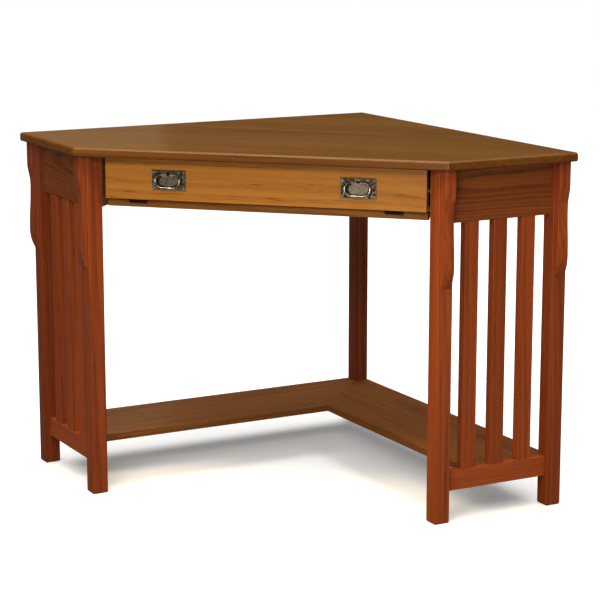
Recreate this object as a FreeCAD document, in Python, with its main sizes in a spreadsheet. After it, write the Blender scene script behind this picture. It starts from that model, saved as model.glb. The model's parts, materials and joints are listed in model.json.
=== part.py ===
import FreeCAD, Part
import math
import os
import Sketcher

# Corner desk with slatted side panels, a drop-front keyboard tray and an L-shaped lower shelf.
# Millimetres, +X to the right, +Y towards the room corner, +Z up.  The origin is on the floor,
# under the middle of the top's bounding box.

SIZES = {
    # desktop
    "desk_height": 762,
    "top_thick": 19,
    "wall_edge": 889,
    "side_edge": 318,
    "top_corner_round": 6,
    "top_upper_round": 6,
    "top_lower_round": 4,
    # frame
    "wall_overhang": 6,
    "side_overhang": 28,
    "panel_depth": 322,
    "leg_width": 35,
    "leg_round": 1.5,
    "foot_chamfer": 2.5,
    "apron_height": 113,
    "apron_thick": 20,
    "apron_setback": 11.5,
    "rail_height": 43,
    "rail_bottom": 65,
    "board_round": 1.2,
    # slats
    "slat_width": 33,
    "slat_thick": 19,
    "slat_tenon": 10,
    "slat_shoulder": 4,
    "slat_round": 1,
    # shelf
    "shelf_top": 100,
    "shelf_thick": 16,
    "shelf_depth": 212,
    # corbels
    "corbel_length": 245,
    "corbel_width": 25,
    "corbel_head": 16,
    "corbel_straight": 46,
    "corbel_waist": 9.5,
    "corbel_waist_drop": 98,
    "corbel_belly": 13.5,
    "corbel_belly_drop": 200,
    # dowels
    "dowel_bore": 8,
    "dowel_play": 0.1,
    "dowel_depth": 13,
    # slide supports and slides
    "support_inner": 357,
    "support_thick": 16,
    "support_bottom": 632,
    "slide_gap": 12.7,
    "slide_length": 350,
    "slide_metal": 1.2,
    "slide_level": 672,
    "slide_setback": 2,
    "slide_ball_gap": 2.2,
    "slide_lip_gap": 1.7,
    "slide_drawer_lip": 5,
    "cabinet_half": 22.5,
    "middle_half": 18.6,
    "drawer_half": 15,
    # tray
    "tray_bottom": 633,
    "tray_thick": 15.5,
    "tray_round": 0.8,
    "tray_depth": 350,
    "tray_side_thick": 12,
    "tray_side_height": 47,
    "lip_setback": 15,
    "lip_depth": 16,
    # drop front
    "flap_gap": 7,
    "flap_thick": 19,
    "flap_bottom": 651,
    "flap_height": 88,
    "flap_round": 2,
    # hinges
    "hinge_place": 279,
    "hinge_length": 39,
    "hinge_inset": 4.2,
    "hinge_drop": 4.5,
    "knuckle_play": 0.3,
    "tray_leaf_notch": 3.8,
    "flap_leaf_notch": 3,
    "knuckle_radius": 3.8,
    "hinge_pin_radius": 1.5,
    "running_play": 0.06,
    "leaf_thick": 1.15,
    "leaf_width": 18,
    # pulls
    "pull_place": 206,
    "pull_level": 695,
    "plate_width": 77,
    "plate_height": 43.5,
    "plate_thick": 1.6,
    "plate_rim": 2.2,
    "plate_rim_height": 0.9,
    "plate_rim_round": 0.6,
    "plate_corner_round": 1.5,
    "nail_across": 67,
    "nail_up": 33.5,
    "nail_radius": 0.8,
    "nail_length": 12,
    "nail_head_radius": 2.7,
    "nail_head_height": 2.2,
    "nail_head_edge": 0.4,
    "post_across": 18,
    "post_up": 12,
    "post_radius": 2,
    "post_ball_radius": 4.2,
    "post_collar": 2.6,
    "post_collar_thick": 1.4,
    "post_neck": 0.6,
    "post_tail": 5,
    "pivot_reach": 9.5,
    "bail_radius": 2.6,
    "bail_half_width": 27,
    "bail_drop": 28,
    "bail_shoulder": 12,
    "bail_pin_radius": 1.25,
    "bail_pin_reach": 2.7,
    "bail_end_gap": 0.5,
    "bail_pin_root": 1,
    # nuts, catches and strike plates
    "nut_flats": 7,
    "nut_height": 3.2,
    "catch_level": 684,
    "catch_inset": 7,
    "catch_width": 14,
    "catch_length": 28,
    "catch_height": 12,
    "catch_round": 0.8,
    "catch_gap": 0.5,
    "strike_width": 13,
    "strike_height": 16,
    "strike_thick": 1,
    # brackets and their screws
    "bracket_leaf": 22,
    "bracket_width": 18,
    "bracket_thick": 2,
    "screw_place": 13,
    "screw_radius": 1.8,
    "screw_length": 16,
    "screw_head_radius": 4,
    "screw_head_height": 2.2,
    "screw_head_edge": 0.6,
    "support_bracket_setback": 85,
}

RIGHT = 1
LEFT = -1
SIDES = {"right": RIGHT, "left": LEFT}
HALF_RIGHT_ANGLE = 45
WALL_BRACKET_SHARES = (0.2, 0.8)
SUPPORT_BRACKET_SHARES = (0.2, 0.65)
VOLUME_TOLERANCE = 0.02

doc = FreeCAD.newDocument("corner_desk")
sheet = doc.addObject("Spreadsheet::Sheet", "sizes")
nodes = []


class Dim:
    """A length that carries its number and the spreadsheet expression that gives it."""

    def __init__(self, number, text):
        self.number = float(number)
        self.text = text

    def __add__(self, other):
        other = dim(other)
        return Dim(self.number + other.number, f"({self.text} + {other.text})")

    def __sub__(self, other):
        other = dim(other)
        return Dim(self.number - other.number, f"({self.text} - {other.text})")

    def __mul__(self, other):
        other = dim(other)
        return Dim(self.number * other.number, f"({self.text} * {other.text})")

    def __truediv__(self, other):
        other = dim(other)
        return Dim(self.number / other.number, f"({self.text} / {other.text})")

    def __radd__(self, other):
        return dim(other) + self

    def __rsub__(self, other):
        return dim(other) - self

    def __rmul__(self, other):
        return dim(other) * self

    def __neg__(self):
        return dim(-1) * self


def dim(value):
    if isinstance(value, Dim):
        return value
    return Dim(value, f"({value})")


def size(alias):
    return Dim(SIZES[alias], f"sizes.{alias}")


def fill_sheet():
    for row, (alias, value) in enumerate(SIZES.items(), start=1):
        sheet.set(f"A{row}", alias)
        sheet.set(f"B{row}", str(value))
        sheet.setAlias(f"B{row}", alias)
    doc.recompute()


fill_sheet()

ROOT2 = Dim(math.sqrt(2), "sqrt(2)")
ZERO = dim(0)

# Lines of the plan that several pieces share.  "Along" is a distance from the room corner along
# one wall edge of the top, "inward" a distance from that wall edge into the room.
TOP_DEPTH = (size("wall_edge") + size("side_edge")) / ROOT2
# the rounded back corner shortens the top a little, which moves the middle of its bounding box
CORNER_LOSS = size("top_corner_round") * (ROOT2 - 1)
BACK_CORNER = (TOP_DEPTH + CORNER_LOSS) / 2
FRAME_HEIGHT = size("desk_height") - size("top_thick")
LEG_OUTER = size("wall_edge") - size("side_overhang")
LEG_INNER = LEG_OUTER - size("leg_width")
REAR_LEG_FACE = size("wall_overhang") + size("leg_width")
FRONT_LEG_REAR = size("panel_depth") - size("leg_width")
PANEL_LENGTH = FRONT_LEG_REAR - REAR_LEG_FACE
PANEL_LINE = LEG_OUTER - size("apron_setback") - size("apron_thick") / 2
WALL_APRON_LINE = size("wall_overhang") + size("leg_width") / 2
APRON_BOTTOM = FRAME_HEIGHT - size("apron_height")
RAIL_TOP = size("rail_bottom") + size("rail_height")
TENON_WIDTH = size("slat_width") - 2 * size("slat_shoulder")
TENON_THICK = size("slat_thick") - 2 * size("slat_shoulder")

# The drawer front stands flush with the front legs' inner corners.
FLAP_FRONT = BACK_CORNER - (LEG_INNER + size("panel_depth")) / ROOT2
FLAP_HALF = (LEG_INNER - size("panel_depth")) / ROOT2 - size("flap_gap")
FLAP_BACK = FLAP_FRONT + size("flap_thick")
LIP_FRONT = FLAP_FRONT + size("lip_setback")
LIP_BACK = LIP_FRONT + size("lip_depth")
TRAY_TOP = size("tray_bottom") + size("tray_thick")
TRAY_HALF = size("support_inner") - size("slide_gap")
TRAY_REAR = LIP_BACK + size("tray_depth")
SIDE_CLEARANCE = 2
TRAY_SIDE_FRONT = FLAP_BACK + SIDE_CLEARANCE
SLIDE_REAR = LIP_BACK + size("slide_setback") + size("slide_length")
HINGE_Y = LIP_FRONT - size("hinge_inset")
HINGE_Z = size("flap_bottom") - size("hinge_drop")


# ---------------------------------------------------------------- building blocks

def new_body(label, several=False):
    body = doc.addObject("PartDesign::Body", label)
    body.Label = label
    body.AllowCompound = several
    nodes.append(body)
    return body


def plane_of(body, role):
    return next(item for item in body.Origin.OriginFeatures if item.Role == role)


def new_sketch(body, role, name, offset=ZERO):
    sketch = body.newObject("Sketcher::SketchObject", f"{body.Name}_{name}")
    sketch.AttachmentSupport = [(plane_of(body, role), "")]
    sketch.MapMode = "FlatFace"
    sketch.AttachmentOffset = FreeCAD.Placement(
        FreeCAD.Vector(0, 0, offset.number), FreeCAD.Rotation())
    if offset.number:
        sketch.setExpression("AttachmentOffset.Base.z", offset.text)
    return sketch


def hold(sketch, kind, arguments, value):
    """Add one driving constraint and bind it to the spreadsheet."""
    index = sketch.addConstraint(Sketcher.Constraint(kind, *arguments, value.number))
    sketch.setExpression(f"Constraints[{index}]", value.text)


def hold_point(sketch, geometry, end, x, y):
    for kind, axis, value in (("DistanceX", -2, x), ("DistanceY", -1, y)):
        if value.number == 0:
            sketch.addConstraint(Sketcher.Constraint("PointOnObject", geometry, end, axis))
        else:
            hold(sketch, kind, (-1, 1, geometry, end), value)


def vector(point):
    return FreeCAD.Vector(point[0].number, point[1].number, 0)


def polygon(sketch, points):
    """A closed outline with straight edges; points are pairs of Dim."""
    points = [(dim(x), dim(y)) for x, y in points]
    first = sketch.GeometryCount
    count = len(points)
    for index, point in enumerate(points):
        following = points[(index + 1) % count]
        sketch.addGeometry(Part.LineSegment(vector(point), vector(following)))
    for index, (x, y) in enumerate(points):
        before = first + (index - 1) % count
        sketch.addConstraint(Sketcher.Constraint("Coincident", before, 2, first + index, 1))
        hold_point(sketch, first + index, 1, x, y)


def rectangle(sketch, x, y, width, height):
    """A rectangle about the point x, y."""
    left = dim(x) - dim(width) / 2
    right = dim(x) + dim(width) / 2
    low = dim(y) - dim(height) / 2
    high = dim(y) + dim(height) / 2
    polygon(sketch, [(left, low), (right, low), (right, high), (left, high)])


def circle(sketch, x, y, radius):
    x, y, radius = dim(x), dim(y), dim(radius)
    up = FreeCAD.Vector(0, 0, 1)
    index = sketch.addGeometry(Part.Circle(vector((x, y)), up, radius.number))
    hold_point(sketch, index, 3, x, y)
    hold(sketch, "Radius", (index,), radius)


def pad(body, sketch, length, reverse=False):
    feature = body.newObject("PartDesign::Pad", f"{sketch.Name}_pad")
    feature.Profile = sketch
    feature.Length = dim(length).number
    feature.setExpression("Length", dim(length).text)
    feature.Reversed = reverse
    sketch.Visibility = False
    doc.recompute()
    return feature


def pocket(body, sketch, depth, removed, reverse=False):
    """Cut the sketch's outline to a depth; removed is the volume that the cut must take away."""
    before = body.Shape.Volume
    feature = body.newObject("PartDesign::Pocket", f"{sketch.Name}_pocket")
    feature.Profile = sketch
    feature.Length = dim(depth).number
    feature.setExpression("Length", dim(depth).text)
    feature.Reversed = reverse
    doc.recompute()
    gone = before - body.Shape.Volume
    if abs(gone - removed) > VOLUME_TOLERANCE * removed:
        raise RuntimeError(f"{feature.Name} removed {gone:.1f} mm3, expected {removed:.1f}")
    return feature


def mirror(body, features, role):
    feature = body.newObject("PartDesign::Mirrored", f"{body.Name}_{features[-1].Name}_mirror")
    feature.Originals = features
    feature.MirrorPlane = (plane_of(body, role), [""])
    body.Tip = feature
    doc.recompute()
    return feature


def repeat(body, features, role, length, count):
    feature = body.newObject("PartDesign::LinearPattern", f"{body.Name}_{features[-1].Name}_row")
    feature.Originals = features
    feature.Direction = (plane_of(body, role), [""])
    feature.Length = dim(length).number
    feature.setExpression("Length", dim(length).text)
    feature.Occurrences = count
    body.Tip = feature
    doc.recompute()
    return feature


def edge_names(shape, wanted):
    return [f"Edge{index}" for index, edge in enumerate(shape.Edges, start=1) if wanted(edge)]


def runs_along(edge, axis):
    """True where a straight edge is parallel to the axis."""
    if len(edge.Vertexes) != 2 or edge.Curve.TypeId != "Part::GeomLine":
        return False
    direction = (edge.Vertexes[1].Point - edge.Vertexes[0].Point).normalize()
    return abs(abs(direction.dot(axis)) - 1) < 1e-6


def lies_at(edge, axis_name, level):
    box = edge.BoundBox
    low = getattr(box, f"{axis_name}Min")
    high = getattr(box, f"{axis_name}Max")
    return abs(low - level) < 1e-4 and abs(high - level) < 1e-4


def soften(body, kind, radius, wanted):
    """Fillet or Chamfer the edges of the body's tip that the test picks."""
    base = body.Tip
    names = edge_names(base.Shape, wanted)
    if not names:
        raise RuntimeError(f"{body.Label}: no edge to soften")
    feature = body.newObject(f"PartDesign::{kind}", f"{body.Name}_{kind}")
    feature.Base = (base, names)
    name = "Radius" if kind == "Fillet" else "Size"
    setattr(feature, name, dim(radius).number)
    feature.setExpression(name, dim(radius).text)
    doc.recompute()
    if feature.Shape.Volume >= base.Shape.Volume or not feature.Shape.isValid():
        raise RuntimeError(f"{feature.Name} did not cut its edges cleanly")
    return feature


AXIS_X = FreeCAD.Vector(1, 0, 0)
AXIS_Y = FreeCAD.Vector(0, 1, 0)
AXIS_Z = FreeCAD.Vector(0, 0, 1)


def place(item, x, y, z, turn=0.0, tilt=0.0):
    """Put a piece at x, y, z, tilted about its own X axis and then turned about Z, in degrees."""
    rotation = FreeCAD.Rotation(AXIS_Z, turn) * FreeCAD.Rotation(AXIS_X, tilt)
    x, y, z = dim(x), dim(y), dim(z)
    item.Placement = FreeCAD.Placement(
        FreeCAD.Vector(x.number, y.number, z.number), rotation)
    for axis, value in (("x", x), ("y", y), ("z", z)):
        item.setExpression(f"Placement.Base.{axis}", value.text)


def place_on_wall(item, side, along, inward, z, turn=0.0, tilt=0.0):
    """Put a piece in a wall's frame: its X runs along the wall (away from the room corner on the
    right, towards it on the left) and its Y points out of the room."""
    along, inward = dim(along), dim(inward)
    x = side * (along - inward) / ROOT2
    y = BACK_CORNER - (along + inward) / ROOT2
    place(item, x, y, z, turn - side * HALF_RIGHT_ANGLE, tilt)


def board(label, length, thick, height, edge_round):
    """A board centred on X and Y that stands on Z = 0, with its four long edges eased."""
    body = new_body(label)
    outline = new_sketch(body, "XY_Plane", "outline")
    rectangle(outline, 0, 0, length, thick)
    pad(body, outline, height)
    soften(body, "Fillet", edge_round, lambda edge: runs_along(edge, AXIS_X))
    return body


# ---------------------------------------------------------------- desktop

def desktop():
    body = new_body("desktop")
    outline = new_sketch(body, "XY_Plane", "outline")
    side_x = size("wall_edge") / ROOT2
    side_y = BACK_CORNER - side_x
    front_x = (size("wall_edge") - size("side_edge")) / ROOT2
    front_y = BACK_CORNER - TOP_DEPTH
    polygon(outline, [
        (ZERO, BACK_CORNER), (-side_x, side_y), (-front_x, front_y),
        (front_x, front_y), (side_x, side_y)])
    pad(body, outline, size("top_thick"))
    soften(body, "Fillet", size("top_corner_round"), lambda edge: runs_along(edge, AXIS_Z))
    thick = SIZES["top_thick"]
    soften(body, "Fillet", size("top_upper_round"), lambda edge: lies_at(edge, "Z", thick))
    soften(body, "Fillet", size("top_lower_round"), lambda edge: lies_at(edge, "Z", 0))
    place(body, 0, 0, FRAME_HEIGHT)


# ---------------------------------------------------------------- legs

def apron_dowel_levels():
    middle = APRON_BOTTOM + size("apron_height") / 2
    spacing = size("apron_height") / 3
    return [middle - spacing, middle, middle + spacing]


def wall_dowel_levels():
    """Two levels that fall between the side apron's three, so that the bores never meet."""
    middle = APRON_BOTTOM + size("apron_height") / 2
    spacing = size("apron_height") / 6
    return [middle - spacing, middle + spacing]


def rail_dowel_levels():
    middle = size("rail_bottom") + size("rail_height") / 2
    spacing = size("rail_height") / 4
    return [middle - spacing, middle + spacing]


def bore_volume(count):
    return count * math.pi * (SIZES["dowel_bore"] / 2) ** 2 * SIZES["dowel_depth"]


def drill_leg(body, role, offset, levels):
    """Blind dowel holes in the leg face that lies on one of the body's own origin planes."""
    sketch = new_sketch(body, role, f"dowels_{role[:2]}")
    for level in levels:
        circle(sketch, offset, level, size("dowel_bore") / 2)
    # the XZ plane faces -Y, so a pocket there already cuts towards +Y
    pocket(body, sketch, size("dowel_depth"), bore_volume(len(levels)), reverse=role == "YZ_Plane")


def leg(label, panel_role=None, wall_roles=()):
    """A square leg that fills X >= 0, Y >= 0, with its joint faces on the XZ and YZ planes."""
    body = new_body(label)
    outline = new_sketch(body, "XY_Plane", "outline")
    width = size("leg_width")
    rectangle(outline, width / 2, width / 2, width, width)
    pad(body, outline, FRAME_HEIGHT)
    soften(body, "Chamfer", size("foot_chamfer"), lambda edge: lies_at(edge, "Z", 0))
    soften(body, "Fillet", size("leg_round"), lambda edge: edge.BoundBox.ZLength > 1)
    if panel_role:
        levels = apron_dowel_levels() + rail_dowel_levels()
        drill_leg(body, panel_role, PANEL_LINE - LEG_INNER, levels)
    for role in wall_roles:
        drill_leg(body, role, REAR_LEG_FACE - WALL_APRON_LINE, wall_dowel_levels())
    return body


def legs():
    back = leg("back_leg", wall_roles=("XZ_Plane", "YZ_Plane"))
    place_on_wall(back, RIGHT, REAR_LEG_FACE, REAR_LEG_FACE, 0, turn=90)
    right_rear = leg("right_rear_leg", "XZ_Plane", ("YZ_Plane",))
    place_on_wall(right_rear, RIGHT, LEG_INNER, REAR_LEG_FACE, 0)
    left_rear = leg("left_rear_leg", "YZ_Plane", ("XZ_Plane",))
    place_on_wall(left_rear, LEFT, LEG_INNER, REAR_LEG_FACE, 0, turn=90)
    right_front = leg("right_front_leg", "YZ_Plane")
    place_on_wall(right_front, RIGHT, LEG_INNER, FRONT_LEG_REAR, 0, turn=-90)
    left_front = leg("left_front_leg", "XZ_Plane")
    place_on_wall(left_front, LEFT, LEG_INNER, FRONT_LEG_REAR, 0, turn=180)


# ---------------------------------------------------------------- aprons, rails and slats

def drill_ends(body, length, levels):
    """Dowel holes in both ends of a board that is centred on X."""
    half = length / 2
    sketch = new_sketch(body, "YZ_Plane", "dowels", -half)
    for level in levels:
        circle(sketch, 0, level, size("dowel_bore") / 2)
    holes = pocket(body, sketch, size("dowel_depth"), bore_volume(len(levels)), reverse=True)
    mirror(body, [holes], "YZ_Plane")


def slat_offsets():
    gap = (PANEL_LENGTH - 3 * size("slat_width")) / 4
    return [-(gap + size("slat_width")), ZERO, gap + size("slat_width")]


def mortise(body):
    """Three blind mortises for the slats, cut upwards from the board's bottom face."""
    sketch = new_sketch(body, "XY_Plane", "mortises")
    for offset in slat_offsets():
        rectangle(sketch, offset, 0, TENON_WIDTH, TENON_THICK)
    width = SIZES["slat_width"] - 2 * SIZES["slat_shoulder"]
    thick = SIZES["slat_thick"] - 2 * SIZES["slat_shoulder"]
    pocket(body, sketch, size("slat_tenon"), 3 * width * thick * SIZES["slat_tenon"],
           reverse=True)


def side_panel(name, side):
    middle = (REAR_LEG_FACE + FRONT_LEG_REAR) / 2
    apron = board(f"{name}_side_apron", PANEL_LENGTH, size("apron_thick"),
                  size("apron_height"), size("board_round"))
    drill_ends(apron, PANEL_LENGTH, [level - APRON_BOTTOM for level in apron_dowel_levels()])
    mortise(apron)
    place_on_wall(apron, side, PANEL_LINE, middle, APRON_BOTTOM, turn=90)

    # the rail is the same board turned over, so its mortises open upwards
    rail = board(f"{name}_lower_rail", PANEL_LENGTH, size("apron_thick"),
                 size("rail_height"), size("board_round"))
    drill_ends(rail, PANEL_LENGTH, [RAIL_TOP - level for level in rail_dowel_levels()])
    mortise(rail)
    place_on_wall(rail, side, PANEL_LINE, middle, RAIL_TOP, turn=90, tilt=180)

    for place_name, offset in zip(("rear", "middle", "front"), slat_offsets()):
        slat = new_body(f"{name}_{place_name}_slat")
        outline = new_sketch(slat, "XY_Plane", "outline", size("slat_tenon"))
        rectangle(outline, 0, 0, size("slat_width"), size("slat_thick"))
        pad(slat, outline, APRON_BOTTOM - RAIL_TOP)
        soften(slat, "Fillet", size("slat_round"), lambda edge: runs_along(edge, AXIS_Z))
        # one shouldered tenon at each end, made as a core that runs right through
        core = new_sketch(slat, "XY_Plane", "tenons")
        rectangle(core, 0, 0, TENON_WIDTH, TENON_THICK)
        pad(slat, core, APRON_BOTTOM - RAIL_TOP + 2 * size("slat_tenon"))
        place_on_wall(slat, side, PANEL_LINE, middle + offset,
                      RAIL_TOP - size("slat_tenon"), turn=90)


def back_apron(name, side):
    length = LEG_INNER - REAR_LEG_FACE
    body = board(f"{name}_back_apron", length, size("apron_thick"),
                 size("apron_height"), size("board_round"))
    drill_ends(body, length, [level - APRON_BOTTOM for level in wall_dowel_levels()])
    middle = (LEG_INNER + REAR_LEG_FACE) / 2
    place_on_wall(body, side, middle, WALL_APRON_LINE, APRON_BOTTOM)


def dowels(name, side):
    """Dowels, half in the leg and half in the board: those of the side panel, then the wall's."""
    radius = (size("dowel_bore") - size("dowel_play")) / 2
    depth = size("dowel_depth") - size("dowel_play")
    panel = new_body(f"{name}_panel_dowels", several=True)
    sketch = new_sketch(panel, "YZ_Plane", "rounds", -depth)
    for level in apron_dowel_levels() + rail_dowel_levels():
        circle(sketch, 0, level, radius)
    first = pad(panel, sketch, 2 * depth)
    repeat(panel, [first], "X_Axis", PANEL_LENGTH, 2)
    place_on_wall(panel, side, PANEL_LINE, REAR_LEG_FACE, 0, turn=-90)

    wall = new_body(f"{name}_wall_dowels", several=True)
    sketch = new_sketch(wall, "YZ_Plane", "rounds", -depth)
    for level in wall_dowel_levels():
        circle(sketch, 0, level, radius)
    first = pad(wall, sketch, 2 * depth)
    repeat(wall, [first], "X_Axis", LEG_INNER - REAR_LEG_FACE, 2)
    begin = REAR_LEG_FACE if side == RIGHT else LEG_INNER
    place_on_wall(wall, side, begin, WALL_APRON_LINE, 0)


# ---------------------------------------------------------------- corbels

def arc_through(start, end, centre):
    """The short arc from start to end about a centre, all pairs of Dim."""
    a, b, c = vector(start), vector(end), vector(centre)
    direction = ((a + b) * 0.5 - c).normalize()
    return Part.Arc(a, c + direction * (a - c).Length, b)


def corbel(label, side, inward):
    """A bracket whose outer edge runs straight, draws in to a waist, swells and rounds off."""
    body = new_body(label)
    profile = new_sketch(body, "XZ_Plane", "profile")
    head, waist, belly = size("corbel_head"), size("corbel_waist"), size("corbel_belly")
    heel = -size("corbel_straight")
    waist_z = -size("corbel_waist_drop")
    belly_z = -size("corbel_belly_drop")
    end_z = -size("corbel_length")

    neck_radius = s_radius(head - waist, heel - waist_z)
    swell_radius = s_radius(belly - waist, waist_z - belly_z)
    end_radius = (belly * belly + (belly_z - end_z) * (belly_z - end_z)) / (2 * belly)
    neck = ((head + waist) / 2, (heel + waist_z) / 2)
    swell = ((belly + waist) / 2, (waist_z + belly_z) / 2)

    corners = [(ZERO, ZERO), (head, ZERO), (head, heel), neck, (waist, waist_z), swell,
               (belly, belly_z), (ZERO, end_z)]
    centres = {
        2: ((head - neck_radius, heel), neck_radius),
        3: ((waist + neck_radius, waist_z), neck_radius),
        4: ((waist + swell_radius, waist_z), swell_radius),
        5: ((belly - swell_radius, belly_z), swell_radius),
        6: ((belly - end_radius, belly_z), end_radius),
    }
    count = len(corners)
    for index, corner in enumerate(corners):
        following = corners[(index + 1) % count]
        if index in centres:
            profile.addGeometry(arc_through(corner, following, centres[index][0]))
        else:
            profile.addGeometry(Part.LineSegment(vector(corner), vector(following)))
    ends = arc_ends(profile, corners)
    for index, (x, y) in enumerate(corners):
        before = (index - 1) % count
        profile.addConstraint(Sketcher.Constraint(
            "Coincident", before, ends[before][1], index, ends[index][0]))
        hold_point(profile, index, ends[index][0], x, y)
    for index, (_, radius) in centres.items():
        hold(profile, "Radius", (index,), radius)
    pad(body, profile, size("corbel_width"))
    soften(body, "Fillet", size("board_round"), is_corbel_arris)
    # the pad grows towards -Y, so the corbel is centred by half its width
    half = size("corbel_width") / 2
    outward_turn = 0 if side == RIGHT else 180
    place_on_wall(body, side, LEG_OUTER, inward - side * half, FRAME_HEIGHT, outward_turn)


def s_radius(across, down):
    """Radius of two equal arcs that make an S between two parallel ends."""
    return ((across / 2) * (across / 2) + (down / 2) * (down / 2)) / across


def arc_ends(sketch, corners):
    """For each geometry, which of its ends (1 or 2) is at its corner, and the other one."""
    result = []
    for index, corner in enumerate(corners):
        at_corner = (sketch.getPoint(index, 1) - vector(corner)).Length < 1e-6
        result.append((1, 2) if at_corner else (2, 1))
    return result


def is_corbel_arris(edge):
    """Edges of the two side faces, apart from those against the leg and under the top."""
    box = edge.BoundBox
    flat = abs(box.YMax - box.YMin) < 1e-6
    return flat and box.XMax > 1e-6 and box.ZMin < -1e-6


def corbels(name, side):
    rear = WALL_APRON_LINE
    front = size("panel_depth") - size("leg_width") / 2
    corbel(f"{name}_rear_corbel", side, rear)
    corbel(f"{name}_front_corbel", side, front)


# ---------------------------------------------------------------- shelf

def shelf_board(name, side):
    """One arm of the L: notched round the back leg and the rear leg, mitred at the corner."""
    body = new_body(f"{name}_shelf_board")
    outline = new_sketch(body, "XY_Plane", "outline")
    wall = size("wall_overhang")
    leg_face = REAR_LEG_FACE
    front = wall + size("shelf_depth")
    rail_face = PANEL_LINE - size("apron_thick") / 2
    corners = [
        (leg_face, wall), (LEG_INNER, wall), (LEG_INNER, leg_face),
        (rail_face, leg_face), (rail_face, front), (front, front), (leg_face, leg_face)]
    polygon(outline, [(side * along, -inward) for along, inward in corners])
    pad(body, outline, size("shelf_thick"))
    front_y = -front.number
    soften(body, "Fillet", size("board_round"), lambda edge: lies_at(edge, "Y", front_y)
           and runs_along(edge, AXIS_X))
    place_on_wall(body, side, ZERO, ZERO, size("shelf_top") - size("shelf_thick"))


# ---------------------------------------------------------------- slide supports and slides

def slide_support(name, side):
    """A board from the front leg's inner face to the back apron, mitred at both ends."""
    body = new_body(f"{name}_slide_support")
    outline = new_sketch(body, "XY_Plane", "outline")
    inner = size("support_inner")
    outer = inner + size("support_thick")
    apron_face = WALL_APRON_LINE + size("apron_thick") / 2

    def at_leg(x):
        return BACK_CORNER + x - ROOT2 * LEG_INNER

    def at_apron(x):
        return BACK_CORNER - x - ROOT2 * apron_face

    corners = [(inner, at_leg(inner)), (outer, at_leg(outer)),
               (outer, at_apron(outer)), (inner, at_apron(inner))]
    polygon(outline, [(side * x, y) for x, y in corners])
    pad(body, outline, FRAME_HEIGHT - size("support_bottom"))
    place(body, 0, 0, size("support_bottom"))


def channel(label, side, web, tip, half_height):
    """A C-shaped slide member; web and tip are distances from the support's face."""
    body = new_body(label)
    profile = new_sketch(body, "XZ_Plane", "profile")
    metal = size("slide_metal")
    inside = web + metal if tip.number > web.number else web - metal
    inner_height = half_height - metal
    points = [
        (web, -half_height), (tip, -half_height), (tip, -inner_height), (inside, -inner_height),
        (inside, inner_height), (tip, inner_height), (tip, half_height), (web, half_height)]
    polygon(profile, [(-side * u, z) for u, z in points])
    pad(body, profile, size("slide_length"))
    place(body, side * size("support_inner"), SLIDE_REAR, size("slide_level"))


def slides(name, side):
    gap = size("slide_gap")
    play = size("slide_ball_gap")
    channel(f"{name}_slide_cabinet_member", side, ZERO, gap - play, size("cabinet_half"))
    channel(f"{name}_slide_middle_member", side, play, gap - size("slide_lip_gap"),
            size("middle_half"))
    channel(f"{name}_slide_drawer_member", side, gap, size("slide_drawer_lip"),
            size("drawer_half"))


# ---------------------------------------------------------------- tray

def tray():
    floor = board("tray_floor", 2 * TRAY_HALF, TRAY_REAR - LIP_BACK, size("tray_thick"),
                  size("tray_round"))
    place(floor, 0, (TRAY_REAR + LIP_BACK) / 2, size("tray_bottom"))
    lip = board("tray_lip", 2 * FLAP_HALF, size("lip_depth"), size("tray_thick"),
                size("board_round"))
    place(lip, 0, (LIP_FRONT + LIP_BACK) / 2, size("tray_bottom"))
    back = board("tray_back", 2 * (TRAY_HALF - size("tray_side_thick")),
                 size("tray_side_thick"), size("tray_side_height"), size("board_round"))
    place(back, 0, TRAY_REAR - size("tray_side_thick") / 2, TRAY_TOP)


def tray_side(name, side):
    length = TRAY_REAR - TRAY_SIDE_FRONT
    body = board(f"{name}_tray_side", length, size("tray_side_thick"),
                 size("tray_side_height"), size("board_round"))
    place(body, side * (TRAY_HALF - size("tray_side_thick") / 2),
          (TRAY_REAR + TRAY_SIDE_FRONT) / 2, TRAY_TOP, turn=90)


# ---------------------------------------------------------------- drop front and hinges

def hole_volume(count, radius, depth):
    return count * math.pi * radius ** 2 * depth


def drop_front():
    """The drawer front: its local origin is at its bottom edge, in its front plane."""
    body = new_body("drop_front")
    outline = new_sketch(body, "XZ_Plane", "outline")
    height = size("flap_height")
    rectangle(outline, 0, height / 2, 2 * FLAP_HALF, height)
    pad(body, outline, size("flap_thick"), reverse=True)
    soften(body, "Fillet", size("flap_round"), lambda edge: lies_at(edge, "Y", 0))

    level = size("pull_level") - size("flap_bottom")
    posts = new_sketch(body, "XZ_Plane", "post_holes")
    nails = new_sketch(body, "XZ_Plane", "nail_holes")
    post_hole = size("post_radius") + size("dowel_play")
    for side in SIDES.values():
        for hand in SIDES.values():
            x = side * size("pull_place") + hand * size("post_across") / 2
            circle(posts, x, level + size("post_up"), post_hole)
            for up in SIDES.values():
                x = side * size("pull_place") + hand * size("nail_across") / 2
                circle(nails, x, level + up * size("nail_up") / 2, size("nail_radius"))
    thick = SIZES["flap_thick"]
    pocket(body, posts, size("flap_thick"), hole_volume(4, post_hole.number, thick))
    nail_depth = SIZES["nail_length"] - SIZES["plate_thick"]
    pocket(body, nails, size("nail_length") - size("plate_thick"),
           hole_volume(8, SIZES["nail_radius"], nail_depth))
    place(body, 0, FLAP_FRONT, size("flap_bottom"))


def knuckle_spans():
    """Start and end of the three knuckles along the hinge, with a little play between them."""
    third = size("hinge_length") / 3
    half = size("hinge_length") / 2
    play = size("knuckle_play")
    return [(-half, -third / 2 - play), (-third / 2, third / 2), (third / 2 + play, half)]


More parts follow.
